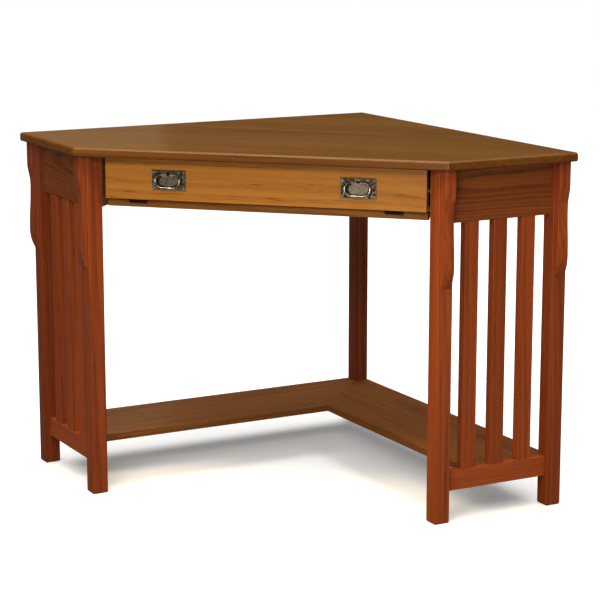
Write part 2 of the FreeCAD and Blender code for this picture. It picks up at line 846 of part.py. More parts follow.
def hinge_leaf(label, place_x, spans, leaf_z, other_spans, notch):
    """A leaf and its knuckles.  The local origin is on the pin's axis, X along the pin."""
    body = new_body(label)
    width = size("hinge_length")
    knuckle = size("knuckle_radius")
    thick = size("leaf_thick")

    plate = new_sketch(body, "XY_Plane", "plate", leaf_z)
    rectangle(plate, 0, size("leaf_width") / 2, width, size("leaf_width"))
    pad(body, plate, thick)

    gaps = new_sketch(body, "XY_Plane", "gaps", leaf_z)
    area = 0
    for start, end in other_spans:
        low = start - size("knuckle_play")
        high = end + size("knuckle_play")
        low = low if low.number > -width.number / 2 else -width / 2 - 1
        high = high if high.number < width.number / 2 else width / 2 + 1
        polygon(gaps, [(low, dim(-1)), (high, dim(-1)), (high, notch), (low, notch)])
        reach = min(high.number, width.number / 2) - max(low.number, -width.number / 2)
        area += reach * notch.number
    pocket(body, gaps, thick, area * thick.number, reverse=True)

    for index, (start, end) in enumerate(spans):
        rounds = new_sketch(body, "YZ_Plane", f"knuckle{index}", start)
        circle(rounds, 0, 0, knuckle)
        pad(body, rounds, end - start)
    bore = new_sketch(body, "YZ_Plane", "bore", -width / 2)
    bore_radius = size("hinge_pin_radius") + size("running_play")
    circle(bore, 0, 0, bore_radius)
    length = sum(end.number - start.number for start, end in spans)
    pocket(body, bore, width, hole_volume(1, bore_radius.number, length), reverse=True)
    place(body, place_x, HINGE_Y, HINGE_Z)


def hinge(name, side):
    place_x = side * size("hinge_place")
    outer_left, middle, outer_right = knuckle_spans()
    tray_leaf_z = TRAY_TOP - HINGE_Z
    flap_leaf_z = size("hinge_drop") - size("leaf_thick")
    hinge_leaf(f"{name}_hinge_tray_leaf", place_x, [outer_left, outer_right], tray_leaf_z,
               [middle], size("tray_leaf_notch"))
    hinge_leaf(f"{name}_hinge_flap_leaf", place_x, [middle], flap_leaf_z,
               [outer_left, outer_right], size("flap_leaf_notch"))
    pin = new_body(f"{name}_hinge_pin")
    sketch = new_sketch(pin, "YZ_Plane", "round", -size("hinge_length") / 2)
    circle(sketch, 0, 0, size("hinge_pin_radius"))
    pad(pin, sketch, size("hinge_length"))
    place(pin, place_x, HINGE_Y, HINGE_Z)


# ---------------------------------------------------------------- pulls

def pull_plate(name, side):
    """The backplate lies on the flap; its local Y = 0 is the flap's front face."""
    body = new_body(f"{name}_pull_plate")
    width, height, rim = size("plate_width"), size("plate_height"), size("plate_rim")
    outline = new_sketch(body, "XZ_Plane", "outline")
    rectangle(outline, 0, 0, width, height)
    pad(body, outline, size("plate_thick"))
    border = new_sketch(body, "XZ_Plane", "border", size("plate_thick"))
    rectangle(border, 0, 0, width, height)
    rectangle(border, 0, 0, width - 2 * rim, height - 2 * rim)
    pad(body, border, size("plate_rim_height"))
    soften(body, "Fillet", size("plate_corner_round"), lambda edge: runs_along(edge, AXIS_Y)
           and abs(edge.Vertexes[0].Point.x) > width.number / 2 - 0.01)
    front = -SIZES["plate_thick"] - SIZES["plate_rim_height"]
    soften(body, "Fillet", size("plate_rim_round"), lambda edge: lies_at(edge, "Y", front))

    holes = new_sketch(body, "XZ_Plane", "holes")
    post_hole = size("post_radius") + size("dowel_play")
    for hand in SIDES.values():
        circle(holes, hand * size("post_across") / 2, size("post_up"), post_hole)
        for up in SIDES.values():
            circle(holes, hand * size("nail_across") / 2, up * size("nail_up") / 2,
                   size("nail_radius"))
    thick = SIZES["plate_thick"]
    volume = hole_volume(2, post_hole.number, thick) + hole_volume(4, SIZES["nail_radius"], thick)
    pocket(body, holes, size("plate_thick"), volume, reverse=True)
    place(body, side * size("pull_place"), FLAP_FRONT, size("pull_level"))


def pull_nails():
    """The eight dome-headed nails of both backplates."""
    body = new_body("pull_nails", several=True)
    shanks = new_sketch(body, "XZ_Plane", "shanks", size("plate_thick"))
    heads = new_sketch(body, "XZ_Plane", "heads", size("plate_thick"))
    for side in SIDES.values():
        for hand in SIDES.values():
            for up in SIDES.values():
                x = side * size("pull_place") + hand * size("nail_across") / 2
                z = up * size("nail_up") / 2
                circle(shanks, x, z, size("nail_radius"))
                circle(heads, x, z, size("nail_head_radius"))
    pad(body, heads, size("nail_head_height"))
    pad(body, shanks, size("nail_length"), reverse=True)
    crown = -SIZES["plate_thick"] - SIZES["nail_head_height"]
    soften(body, "Fillet", size("nail_head_height") - size("nail_head_edge"),
           lambda edge: lies_at(edge, "Y", crown))
    place(body, 0, FLAP_FRONT, size("pull_level"))


def pull_posts(name, side):
    """Two turned posts with ball heads; each ball is cross-bored for the bail's end."""
    body = new_body(f"{name}_pull_posts", several=True)
    profile = new_sketch(body, "XY_Plane", "profile")
    centre = size("post_across") / 2
    shank = size("post_radius")
    reach = size("pivot_reach")
    ball = size("post_ball_radius")
    collar = shank + size("post_collar")
    collar_front = -size("plate_thick") - size("post_collar_thick")
    neck = shank + size("post_neck")
    neck_front = Dim(-math.sqrt(ball.number ** 2 - neck.number ** 2),
                     f"(-sqrt({ball.text} ^ 2 - {neck.text} ^ 2))")
    tail = size("flap_thick") + size("post_tail")
    path = [
        (centre, tail), (centre + shank, tail), (centre + shank, -size("plate_thick")),
        (centre + collar, -size("plate_thick")), (centre + collar, collar_front),
        (centre + neck, collar_front), (centre + neck, -reach - neck_front),
        (centre, -reach - ball)]
    for start, end in zip(path[:-2], path[1:-1]):
        profile.addGeometry(Part.LineSegment(vector(start), vector(end)))
    profile.addGeometry(arc_about(path[-2], path[-1], (centre, -reach), ball.number))
    profile.addGeometry(Part.LineSegment(vector(path[-1]), vector(path[0])))
    ends = arc_ends(profile, path)
    count = len(path)
    for index, (x, y) in enumerate(path):
        before = (index - 1) % count
        profile.addConstraint(Sketcher.Constraint(
            "Coincident", before, ends[before][1], index, ends[index][0]))
        hold_point(profile, index, ends[index][0], x, y)
    hold(profile, "Radius", (count - 2,), ball)
    turned = body.newObject("PartDesign::Revolution", f"{body.Name}_turned")
    turned.Profile = profile
    turned.ReferenceAxis = (profile, [f"Edge{count}"])
    turned.Angle = 360
    doc.recompute()

    bore = new_sketch(body, "YZ_Plane", "bore")
    bore_radius = size("bail_pin_radius") + size("running_play")
    circle(bore, -reach, ZERO, bore_radius)
    left_over = ball.number ** 2 - bore_radius.number ** 2
    through = 4 / 3 * math.pi * (ball.number ** 3 - left_over ** 1.5)
    cut = pocket(body, bore, size("post_across"), through, reverse=True)
    mirror(body, [turned, cut], "YZ_Plane")
    place(body, side * size("pull_place"), FLAP_FRONT, size("pull_level") + size("post_up"))


def arc_about(start, end, centre, radius):
    """The arc from start to end on the side of the centre that faces away from the axis."""
    a, b, c = vector(start), vector(end), vector(centre)
    return Part.Arc(a, c + FreeCAD.Vector(radius, 0, 0), b)


def pull_nuts():
    """The four hexagon nuts behind the flap."""
    body = new_body("pull_nuts", several=True)
    outline = new_sketch(body, "XZ_Plane", "outline", -size("flap_thick"))
    corner = size("nut_flats") / 2 / math.cos(math.pi / 6)
    for side in SIDES.values():
        for hand in SIDES.values():
            centre = side * size("pull_place") + hand * size("post_across") / 2
            points = []
            for step in range(6):
                angle = step * math.pi / 3
                points.append((centre + corner * round(math.cos(angle), 6),
                               corner * round(math.sin(angle), 6)))
            polygon(outline, points)
            circle(outline, centre, 0, size("post_radius") + size("running_play"))
    pad(body, outline, size("nut_height"), reverse=True)
    place(body, 0, FLAP_FRONT, size("pull_level") + size("post_up"))


def bail(name, side):
    """The bail hangs from the posts; its local origin is the middle of its pivot axis."""
    body = new_body(f"{name}_bail")
    half, drop, shoulder = size("bail_half_width"), size("bail_drop"), size("bail_shoulder")
    belly = drop - shoulder
    root = size("post_across") / 2 + size("post_ball_radius") + size("bail_end_gap")
    path = new_sketch(body, "XZ_Plane", "path")
    points = [(ZERO, -drop), (half - belly, -drop), (half, -shoulder),
              (half - shoulder, ZERO), (root, ZERO)]
    path.addGeometry(Part.LineSegment(vector(points[0]), vector(points[1])))
    path.addGeometry(arc_through(points[1], points[2], (half - belly, -shoulder)))
    path.addGeometry(arc_through(points[2], points[3], (half - shoulder, -shoulder)))
    path.addGeometry(Part.LineSegment(vector(points[3]), vector(points[4])))
    ends = arc_ends(path, points[:-1])
    for index, (x, y) in enumerate(points[:-1]):
        hold_point(path, index, ends[index][0], x, y)
        if index:
            path.addConstraint(Sketcher.Constraint(
                "Coincident", index - 1, ends[index - 1][1], index, ends[index][0]))
    hold_point(path, 3, ends[3][1], *points[4])
    hold(path, "Radius", (1,), belly)
    hold(path, "Radius", (2,), shoulder)
    section = new_sketch(body, "YZ_Plane", "section")
    circle(section, 0, -drop, size("bail_radius"))
    doc.recompute()
    pipe = body.newObject("PartDesign::AdditivePipe", f"{body.Name}_pipe")
    pipe.Profile = section
    pipe.Spine = (path, [f"Edge{number}" for number in range(1, 5)])
    doc.recompute()

    start = size("post_across") / 2 - size("bail_pin_reach")
    tip = new_sketch(body, "YZ_Plane", "tip", start)
    circle(tip, 0, 0, size("bail_pin_radius"))
    pin = pad(body, tip, root + size("bail_pin_root") - start)
    mirror(body, [pipe, pin], "YZ_Plane")
    place(body, side * size("pull_place"), FLAP_FRONT - size("pivot_reach"),
          size("pull_level") + size("post_up"))


# ---------------------------------------------------------------- catches and brackets

def catch_x(side):
    return side * (TRAY_HALF - size("tray_side_thick") - size("catch_inset"))


def flap_catches():
    """Magnetic catches inside the tray sides, just behind the flap's strike plates."""
    body = new_body("flap_catches", several=True)
    outline = new_sketch(body, "XY_Plane", "outline")
    for side in SIDES.values():
        rectangle(outline, catch_x(side), size("catch_length") / 2,
                  size("catch_width"), size("catch_length"))
    pad(body, outline, size("catch_height"))
    soften(body, "Fillet", size("catch_round"), lambda edge: runs_along(edge, AXIS_Z))
    gap = size("strike_thick") + size("catch_gap")
    place(body, 0, FLAP_BACK + gap, size("catch_level") - size("catch_height") / 2)


def strike_plates():
    body = new_body("strike_plates", several=True)
    outline = new_sketch(body, "XZ_Plane", "outline")
    for side in SIDES.values():
        rectangle(outline, catch_x(side), 0, size("strike_width"), size("strike_height"))
    pad(body, outline, size("strike_thick"), reverse=True)
    place(body, 0, FLAP_BACK, size("catch_level"))


def bracket_places():
    """Every bracket's placement: local Y points away from its board, local Z up to the top."""
    places = []

    def keep(x, y, turn):
        point = FreeCAD.Vector(x.number, y.number, FRAME_HEIGHT.number)
        places.append(FreeCAD.Placement(point, FreeCAD.Rotation(AXIS_Z, turn)))

    def keep_on_wall(side, along, inward, turn):
        along, inward = dim(along), dim(inward)
        keep(side * (along - inward) / ROOT2, BACK_CORNER - (along + inward) / ROOT2,
             turn - side * HALF_RIGHT_ANGLE)

    wall_face = WALL_APRON_LINE + size("apron_thick") / 2
    panel_face = PANEL_LINE - size("apron_thick") / 2
    support_face = size("support_inner") + size("support_thick")
    wall_span = LEG_INNER - REAR_LEG_FACE
    for side in SIDES.values():
        for share in WALL_BRACKET_SHARES:
            keep_on_wall(side, REAR_LEG_FACE + wall_span * share, wall_face, 180)
        for share in SUPPORT_BRACKET_SHARES:
            setback = size("support_bracket_setback") + share * size("slide_length")
            keep(side * support_face, FLAP_FRONT + setback, -side * 90)
        keep_on_wall(side, panel_face, (REAR_LEG_FACE + FRONT_LEG_REAR) / 2, side * 90)
    return places


def group_of_copies(label, master, places):
    """One node that holds a separate copy of the master's solid at each place."""
    group = doc.addObject("Part::Feature", label)
    group.Label = label
    copies = []
    for spot in places:
        for solid in master.Shape.Solids:
            copy = solid.copy()
            copy.Placement = spot * copy.Placement
            copies.append(copy)
    group.Shape = Part.makeCompound(copies)
    nodes.append(group)


def bracket_master():
    body = doc.addObject("PartDesign::Body", "bracket_master")
    section = new_sketch(body, "YZ_Plane", "section", -size("bracket_width") / 2)
    leaf, thick = size("bracket_leaf"), size("bracket_thick")
    polygon(section, [(ZERO, ZERO), (ZERO, -leaf), (thick, -leaf), (thick, -thick),
                      (leaf, -thick), (leaf, ZERO)])
    pad(body, section, size("bracket_width"))
    hole = size("screw_radius") + size("running_play")
    for role, level in (("XY_Plane", size("screw_place")), ("XZ_Plane", -size("screw_place"))):
        sketch = new_sketch(body, role, f"hole_{role[:2]}")
        circle(sketch, 0, level, hole)
        pocket(body, sketch, thick, hole_volume(1, hole.number, thick.number))
    return body


def screw_master():
    """A pan-head screw: its head rests on Z = 0 from below and its shank points up."""
    body = doc.addObject("PartDesign::Body", "screw_master")
    head = new_sketch(body, "XY_Plane", "head")
    circle(head, 0, 0, size("screw_head_radius"))
    pad(body, head, size("screw_head_height"), reverse=True)
    shank = new_sketch(body, "XY_Plane", "shank")
    circle(shank, 0, 0, size("screw_radius"))
    pad(body, shank, size("screw_length"))
    low = -SIZES["screw_head_height"]
    soften(body, "Fillet", size("screw_head_height") - size("screw_head_edge"),
           lambda edge: lies_at(edge, "Z", low))
    return body


def brackets():
    places = bracket_places()
    group_of_copies("top_brackets", bracket_master(), places)
    thick, offset = SIZES["bracket_thick"], SIZES["screw_place"]
    upward = FreeCAD.Placement(FreeCAD.Vector(0, offset, -thick), FreeCAD.Rotation())
    sideways = FreeCAD.Placement(
        FreeCAD.Vector(0, thick, -offset), FreeCAD.Rotation(AXIS_X, 90))
    screw_places = [spot * way for spot in places for way in (upward, sideways)]
    group_of_copies("bracket_screws", screw_master(), screw_places)


def build():
    desktop()
    legs()
    for name, side in SIDES.items():
        side_panel(name, side)
        back_apron(name, side)
        dowels(name, side)
        corbels(name, side)
        shelf_board(name, side)
        slide_support(name, side)
        slides(name, side)
    tray()
    drop_front()
    for name, side in SIDES.items():
        tray_side(name, side)
        hinge(name, side)
        pull_plate(name, side)
        pull_posts(name, side)
        bail(name, side)
    pull_nails()
    pull_nuts()
    flap_catches()
    strike_plates()
    brackets()


def check():
    doc.recompute()
    for item in doc.Objects:
        if "Invalid" in item.State or "Error" in item.State:
            raise RuntimeError(f"{item.Name} failed: {item.State}")
    for node in nodes:
        if node.Shape.isNull() or not node.Shape.isValid() or not node.Shape.Solids:
            raise RuntimeError(f"{node.Label} has no valid solid")


def export():
    os.makedirs("parts", exist_ok=True)
    for node in nodes:
        node.Shape.exportStep(os.path.join("parts", f"{node.Label}.step"))
        box = node.Shape.BoundBox
        print(f"{node.Label}: {len(node.Shape.Solids)} solid(s), "
              f"{box.XLength:.1f} x {box.YLength:.1f} x {box.ZLength:.1f} mm")


build()
check()
export()
print(len(nodes), "nodes")
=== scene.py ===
"""Looks of the corner desk: stained oak, pewter pulls, bronze hinges, ball-bearing slides."""
import json
import math
from functools import cache
from typing import NamedTuple

import bmesh
import bpy
import numpy as np
from bpy.props import FloatProperty, FloatVectorProperty, IntProperty, PointerProperty
from mathutils import Euler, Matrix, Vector


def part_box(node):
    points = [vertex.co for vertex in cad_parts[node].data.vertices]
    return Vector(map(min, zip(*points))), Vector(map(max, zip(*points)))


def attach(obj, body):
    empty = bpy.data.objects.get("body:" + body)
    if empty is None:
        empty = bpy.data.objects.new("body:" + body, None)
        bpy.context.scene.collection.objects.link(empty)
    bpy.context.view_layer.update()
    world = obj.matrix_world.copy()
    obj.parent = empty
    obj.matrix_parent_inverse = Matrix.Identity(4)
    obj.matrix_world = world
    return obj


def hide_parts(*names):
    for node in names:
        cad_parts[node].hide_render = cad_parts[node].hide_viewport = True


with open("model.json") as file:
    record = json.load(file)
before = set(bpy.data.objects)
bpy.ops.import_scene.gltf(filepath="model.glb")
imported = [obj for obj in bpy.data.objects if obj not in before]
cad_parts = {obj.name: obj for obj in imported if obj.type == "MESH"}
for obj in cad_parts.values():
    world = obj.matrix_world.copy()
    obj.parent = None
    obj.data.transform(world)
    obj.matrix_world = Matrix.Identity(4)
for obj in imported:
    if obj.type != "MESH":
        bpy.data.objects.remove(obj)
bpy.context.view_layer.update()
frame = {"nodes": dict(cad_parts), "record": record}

bl_info = {
    "name": "Corner Desk Looks",
    "version": (1, 0, 0),
    "blender": (4, 5, 0),
    "location": "View3D > Sidebar > Corner Desk",
    "description": "Finishes and detailed fittings for a stained oak corner desk",
    "category": "Object",
}

SIDES = ("left", "right")
MM = 0.001

# Grain directions: an angle about Z for boards that lie down, or UPRIGHT for legs and slats.
UPRIGHT = "upright"
ALONG_X = 0.0
ALONG_Y = math.radians(90)
ALONG_WALL = {"left": math.radians(45), "right": math.radians(-45)}
ALONG_PANEL = {"left": math.radians(-45), "right": math.radians(45)}


# ---------------------------------------------------------------- settings

def colour(name, description, default):
    return FloatVectorProperty(name=name, description=description, subtype="COLOR", size=3,
                               min=0.0, max=1.0, default=default)


def length(name, description, default):
    return FloatProperty(name=name, description=description, default=default,
                         unit="LENGTH", min=0.0)


def number(name, description, default, unit="NONE"):
    return FloatProperty(name=name, description=description, default=default, unit=unit)


class DeskWoodSettings(bpy.types.PropertyGroup):
    """Stain colours of the wooden pieces"""
    top_light: colour("Top, light", "Light grain of the desktop", (0.175, 0.076, 0.0105))
    top_dark: colour("Top, dark", "Dark grain of the desktop", (0.094, 0.034, 0.0040))
    top_rim: colour("Top, rim", "Tint of the desktop's edges", (1.0, 0.80, 0.50))
    frame_light: colour("Frame, light", "Light grain of the frame", (0.345, 0.067, 0.0105))
    frame_dark: colour("Frame, dark", "Dark grain of the frame", (0.190, 0.029, 0.0045))
    apron_light: colour("Apron, light", "Light grain of the side aprons", (0.24, 0.062, 0.0085))
    apron_dark: colour("Apron, dark", "Dark grain of the side aprons", (0.115, 0.024, 0.0035))
    shelf_light: colour("Shelf, light", "Light grain of the lower shelf", (0.23, 0.080, 0.0150))
    shelf_dark: colour("Shelf, dark", "Dark grain of the lower shelf", (0.135, 0.040, 0.0070))
    front_light: colour("Front, light", "Light grain of the drop front", (0.45, 0.174, 0.0225))
    front_dark: colour("Front, dark", "Dark grain of the drop front", (0.31, 0.104, 0.0112))
    inner_light: colour("Inside, light", "Light grain of the hidden boards", (0.26, 0.120, 0.045))
    inner_dark: colour("Inside, dark", "Dark grain of the hidden boards", (0.14, 0.055, 0.018))


class DeskMetalSettings(bpy.types.PropertyGroup):
    """Colours and sizes of the metal fittings"""
    pewter: colour("Pewter", "Rubbed high spots of the pulls", (0.47, 0.40, 0.30))
    tarnish: colour("Tarnish", "Dark recesses of the pulls", (0.080, 0.060, 0.038))
    bronze: colour("Bronze", "Hinge leaves and pins", (0.085, 0.060, 0.038))
    zinc: colour("Zinc", "Slides, brackets and screws", (0.62, 0.62, 0.60))
    dent_depth: length("Dent depth", "Depth of the hammer marks on the backplates", 0.00022)
    dent_spacing: length("Dent spacing", "Distance between hammer marks", 0.0042)
    bail_swell: length("Bail swell", "Radius of the bail at its lowest point", 0.0026)
    ball_count: IntProperty(name="Balls", description="Balls in each row of a slide",
                            default=22, min=4, max=60)


class DeskStageSettings(bpy.types.PropertyGroup):
    """Camera, floor and lights"""
    camera_place: FloatVectorProperty(name="Camera", description="Place of the camera",
                                      subtype="TRANSLATION", size=3, unit="LENGTH",
                                      default=(1.2457, -4.2916, 1.2818))
    camera_pitch: number("Pitch", "Angle below the horizon", math.radians(11.46), "ROTATION")
    camera_yaw: number("Yaw", "Turn to the left of straight ahead", math.radians(16.585),
                       "ROTATION")
    lens: number("Lens", "Focal length in millimetres", 119.8, "CAMERA")
    ambient: number("Ambient", "Strength of the room's own light", 0.10)
    ceiling: number("Ceiling", "Strength of the light from above", 2.6)
    key: number("Key", "Power of the front light", 39.0, "POWER")
    overhead: number("Overhead", "Power of the strip over the top's front edge", 40.0, "POWER")
    rear: number("Rear", "Power of the light behind", 95.0, "POWER")
    front_card: number("Front card", "Power of the card that the metal mirrors", 13.0, "POWER")
    left_card: number("Left card", "Power of the warm card behind, on the left", 3.2, "POWER")
    right_card: number("Right card", "Power of the warm card behind, on the right", 1.12,
                       "POWER")
    floor_colour: colour("Floor", "Pale studio floor", (0.90, 0.90, 0.895))
    floor_lift: number("Floor lift", "How much the floor is lifted towards white", 0.20)


# ---------------------------------------------------------------- node helpers

class Tree:
    """Adds and links nodes in one node tree."""

    def __init__(self, tree):
        self.tree = tree

    def add(self, kind, inputs=None, **settings):
        node = self.tree.nodes.new(kind)
        for name, value in settings.items():
            setattr(node, name, value)
        for socket, value in (inputs or {}).items():
            self.feed(node.inputs[socket], value)
        return node

    def feed(self, socket, value):
        if isinstance(value, bpy.types.NodeSocket):
            self.tree.links.new(value, socket)
        else:
            socket.default_value = value

    def math(self, operation, *values, clamp=False):
        node = self.add("ShaderNodeMath", operation=operation, use_clamp=clamp)
        for index, value in enumerate(values):
            self.feed(node.inputs[index], value)
        return node.outputs[0]

    def vector(self, operation, *values, output=0):
        node = self.add("ShaderNodeVectorMath", operation=operation)
        for index, value in enumerate(values):
            self.feed(node.inputs[index], value)
        return node.outputs[output]

    def noise(self, place, scale, detail=2.0, roughness=0.5, distortion=0.0, output="Fac"):
        node = self.add("ShaderNodeTexNoise", {
            "Vector": place, "Scale": scale, "Detail": detail, "Roughness": roughness,
            "Distortion": distortion})
        return node.outputs[output]

    def smooth(self, value, low, high, to_low=0.0, to_high=1.0):
        node = self.add("ShaderNodeMapRange", interpolation_type="SMOOTHSTEP")
        for socket, number in zip(("Value", "From Min", "From Max", "To Min", "To Max"),
                                  (value, low, high, to_low, to_high)):
            self.feed(node.inputs[socket], number)
        return node.outputs[0]

    def mix(self, share, first, second, blend="MIX"):
        node = self.add("ShaderNodeMix", data_type="RGBA", blend_type=blend)
        for index, value in ((0, share), (6, first), (7, second)):
            self.feed(node.inputs[index], value)
        return node.outputs[2]

    def total(self, start, *terms):
        """start plus weight x (value - middle) for each (value, middle, weight)."""
        for value, middle, weight in terms:
            part = self.math("MULTIPLY", self.math("SUBTRACT", value, middle), weight)
            start = self.math("ADD", start, part)
        return start

    def bump(self, shader, height, strength, depth):
        node = self.add("ShaderNodeBump", {"Strength": strength, "Distance": depth,
                                           "Height": height})
        self.feed(shader.inputs["Normal"], node.outputs[0])


FLOAT, VECTOR, RGBA = "NodeSocketFloat", "NodeSocketVector", "NodeSocketColor"
WHOLE, GEOMETRY = "NodeSocketInt", "NodeSocketGeometry"


def new_group(name, inputs, outputs, kind="ShaderNodeTree"):
    """A node group with its sockets, as (group, Tree, input sockets, output sockets)."""
    group = bpy.data.node_groups.new(name, kind)
    for socket, socket_type, default in inputs:
        made = group.interface.new_socket(name=socket, in_out="INPUT", socket_type=socket_type)
        if default is not None:
            made.default_value = default
    for socket, socket_type in outputs:
        group.interface.new_socket(name=socket, in_out="OUTPUT", socket_type=socket_type)
    entry = group.nodes.new("NodeGroupInput")
    leave = group.nodes.new("NodeGroupOutput")
    return group, Tree(group), entry.outputs, leave.inputs


@cache
def edge_group():
    """A mask that is 1 on arrises and 0 on flat faces, from the difference a bevel would make."""
    group, tree, entry, leave = new_group(
        "arris_mask", [("Radius", FLOAT, 0.003)], [("Mask", FLOAT)])
    bevel = tree.add("ShaderNodeBevel", {"Radius": entry["Radius"]}, samples=4)
    geometry = tree.add("ShaderNodeNewGeometry")
    alike = tree.vector("DOT_PRODUCT", bevel.outputs[0], geometry.outputs["Normal"], output=1)
    flat, sharp = 0.995, 0.80
    tree.feed(leave["Mask"], tree.smooth(alike, flat, sharp))
    return group


# cells of noise in a metre along, across and through the board, for each feature of the grain
WOBBLE_CELLS = (1.1, 5.0, 5.0)
BROAD_CELLS = (1.3, 6.0, 6.0)
STREAK_CELLS = (1.6, 75.0, 75.0)
FIBRE_CELLS = (9.0, 420.0, 420.0)
PORE_CELLS = (26.0, 900.0, 900.0)
FLECK_CELLS = (70.0, 210.0, 60.0)
STAVE_SHIFT = 7.0      # metres of grain, at most, between one stave and the next
RING_CELLS = 38.0      # how often the rings' spacing changes, in a metre of radius
RING_DRIFT = 2.2       # rings by which that moves them
PIT_TINT = (0.34, 0.28, 0.24, 1.0)


@cache
def grain_group():
    """Oak grain along local X: growth rings, open pores, fibres, ray flecks and board tone."""
    group, tree, entry, leave = new_group("oak_grain", [
        ("Vector", VECTOR, None), ("Light", RGBA, None), ("Dark", RGBA, None),
        ("Ring Spacing", FLOAT, 0.006), ("Pith Y", FLOAT, 0.1), ("Pith Z", FLOAT, -0.08),
        ("Taper", FLOAT, 0.03), ("Contrast", FLOAT, 0.8), ("Pores", FLOAT, 0.7),
        ("Seed", FLOAT, 0.0), ("Stave Width", FLOAT, 10.0), ("Wobble", FLOAT, 0.02)],
        [("Color", RGBA), ("Roughness", FLOAT), ("Height", FLOAT)])
    part = tree.add("ShaderNodeSeparateXYZ", {"Vector": entry["Vector"]}).outputs

    # a wide panel is glued up from staves, each with its own tone and its own stretch of grain
    row = tree.math("FLOOR", tree.math("DIVIDE", part["Y"], entry["Stave Width"]))
    own = tree.add("ShaderNodeTexWhiteNoise", {"W": tree.math("ADD", row, entry["Seed"])},
                   noise_dimensions="1D").outputs["Value"]
    along = tree.math("ADD", part["X"], tree.math("MULTIPLY", own, STAVE_SHIFT))
    place = tree.add("ShaderNodeCombineXYZ", {
        "X": tree.math("ADD", along, entry["Seed"]), "Y": part["Y"], "Z": part["Z"]}).outputs[0]

    def cells(count, *looks, **more):
        return tree.noise(tree.vector("MULTIPLY", place, count), 1.0, *looks, **more)

    # growth rings: the distance from a wandering pith, cut into uneven rings
    wobble = tree.vector("SUBTRACT", cells(WOBBLE_CELLS, 2.0, output="Color"), (0.5, 0.5, 0.5))
    wobble = tree.vector("SCALE", tree.vector("MULTIPLY", wobble, (0.0, 1.0, 1.0)))
    tree.feed(wobble.node.inputs["Scale"], entry["Wobble"])
    pith = tree.add("ShaderNodeCombineXYZ", {"Y": entry["Pith Y"], "Z": entry["Pith Z"]})
    across = tree.vector("MULTIPLY", place, (0.0, 1.0, 1.0))
    across = tree.vector("SUBTRACT", tree.vector("ADD", across, wobble), pith.outputs[0])
    radius = tree.vector("LENGTH", across, output=1)
    radius = tree.math("SUBTRACT", radius, tree.math("MULTIPLY", along, entry["Taper"]))
    uneven = tree.add("ShaderNodeTexNoise", {"W": radius, "Scale": RING_CELLS, "Detail": 1.0},
                      noise_dimensions="1D").outputs["Fac"]
    ring = tree.math("ADD", tree.math("DIVIDE", radius, entry["Ring Spacing"]),
                     tree.math("MULTIPLY", uneven, RING_DRIFT))
    step = tree.math("FRACT", ring)
    late = tree.math("MULTIPLY", tree.smooth(step, 0.0, 0.75), tree.smooth(step, 1.0, 0.90))

    # pores crowd into the early wood of each ring
    early = tree.smooth(late, 0.75, 0.15)
    pore = tree.smooth(cells(PORE_CELLS, 1.0, 0.4), 0.56, 0.68)
    pore = tree.math("MULTIPLY", pore, tree.total(0.25, (early, 0.0, 0.75)))
    fibre = cells(FIBRE_CELLS, 3.0, 0.6)
    streak = cells(STREAK_CELLS, 3.0, 0.55)
    broad = cells(BROAD_CELLS, 2.0)
    fleck = tree.smooth(cells(FLECK_CELLS, 1.0), 0.66, 0.74)

    tone = tree.math("MULTIPLY", tree.math("SUBTRACT", late, 0.45), entry["Contrast"])
    tone = tree.total(tone, (streak, 0.5, 1.25), (fibre, 0.5, 0.65), (broad, 0.5, 0.55),
                      (own, 0.5, 0.30), (fleck, 0.0, 0.16))
    tone = tree.math("ADD", tone, 0.5, clamp=True)
    shade = tree.mix(tone, entry["Dark"], entry["Light"])
    pit = tree.mix(1.0, entry["Dark"], PIT_TINT, "MULTIPLY")
    strength = tree.math("MULTIPLY", pore, entry["Pores"], clamp=True)
    tree.feed(leave["Color"], tree.mix(strength, shade, pit))
    tree.feed(leave["Roughness"], tree.total(0.36, (broad, 0.0, 0.10), (fibre, 0.0, 0.06),
                                             (pore, 0.0, 0.2)))
    tree.feed(leave["Height"], tree.total(0.0, (late, 0.0, 0.30), (fibre, 0.0, 0.35),
                                          (pore, 0.0, -1.1)))
    return group


@cache
def patina_group():
    """Aged metal: dark in hollows and blotches, bright where hands rub it."""
    group, tree, entry, leave = new_group("rubbed_patina", [
        ("Vector", VECTOR, None), ("Bright", RGBA, None), ("Dark", RGBA, None),
        ("Relief", FLOAT, 0.5), ("Rub", FLOAT, 0.5), ("Grain Scale", FLOAT, 900.0)],
        [("Color", RGBA), ("Roughness", FLOAT), ("Height", FLOAT)])
    blotch = tree.noise(entry["Vector"], 160.0, 4.0, 0.6)
    speck = tree.noise(entry["Vector"], entry["Grain Scale"], 3.0, 0.6)
    worn = tree.total(entry["Relief"], (blotch, 0.5, 0.9), (speck, 0.5, 0.35))
    worn = tree.math("ADD", worn, tree.math("SUBTRACT", entry["Rub"], 0.5), clamp=True)
    worn = tree.smooth(worn, 0.15, 0.85)
    tree.feed(leave["Color"], tree.mix(worn, entry["Dark"], entry["Bright"]))
    tree.feed(leave["Roughness"], tree.total(0.56, (worn, 0.0, -0.26), (speck, 0.0, 0.10)))
    tree.feed(leave["Height"], tree.total(0.0, (speck, 0.0, 0.6), (blotch, 0.0, 0.4)))
    return group


def new_material(name):
    material = bpy.data.materials.new(name)
    material.use_nodes = True
    tree = Tree(material.node_tree)
    shader = material.node_tree.nodes["Principled BSDF"]
    return material, tree, shader


def place_group(tree, group, inputs):
    node = tree.add("ShaderNodeGroup", node_tree=group)
    for socket, value in inputs.items():
        tree.feed(node.inputs[socket], value)
    return node.outputs


def opaque(shade):
    return (*shade, 1.0)


# ---------------------------------------------------------------- wood

def grain_turn(direction):
    """The rotation that brings a piece's grain onto local X."""
    if direction == UPRIGHT:
        return Euler((0.0, math.radians(90), 0.0))
    return Euler((0.0, 0.0, -direction))


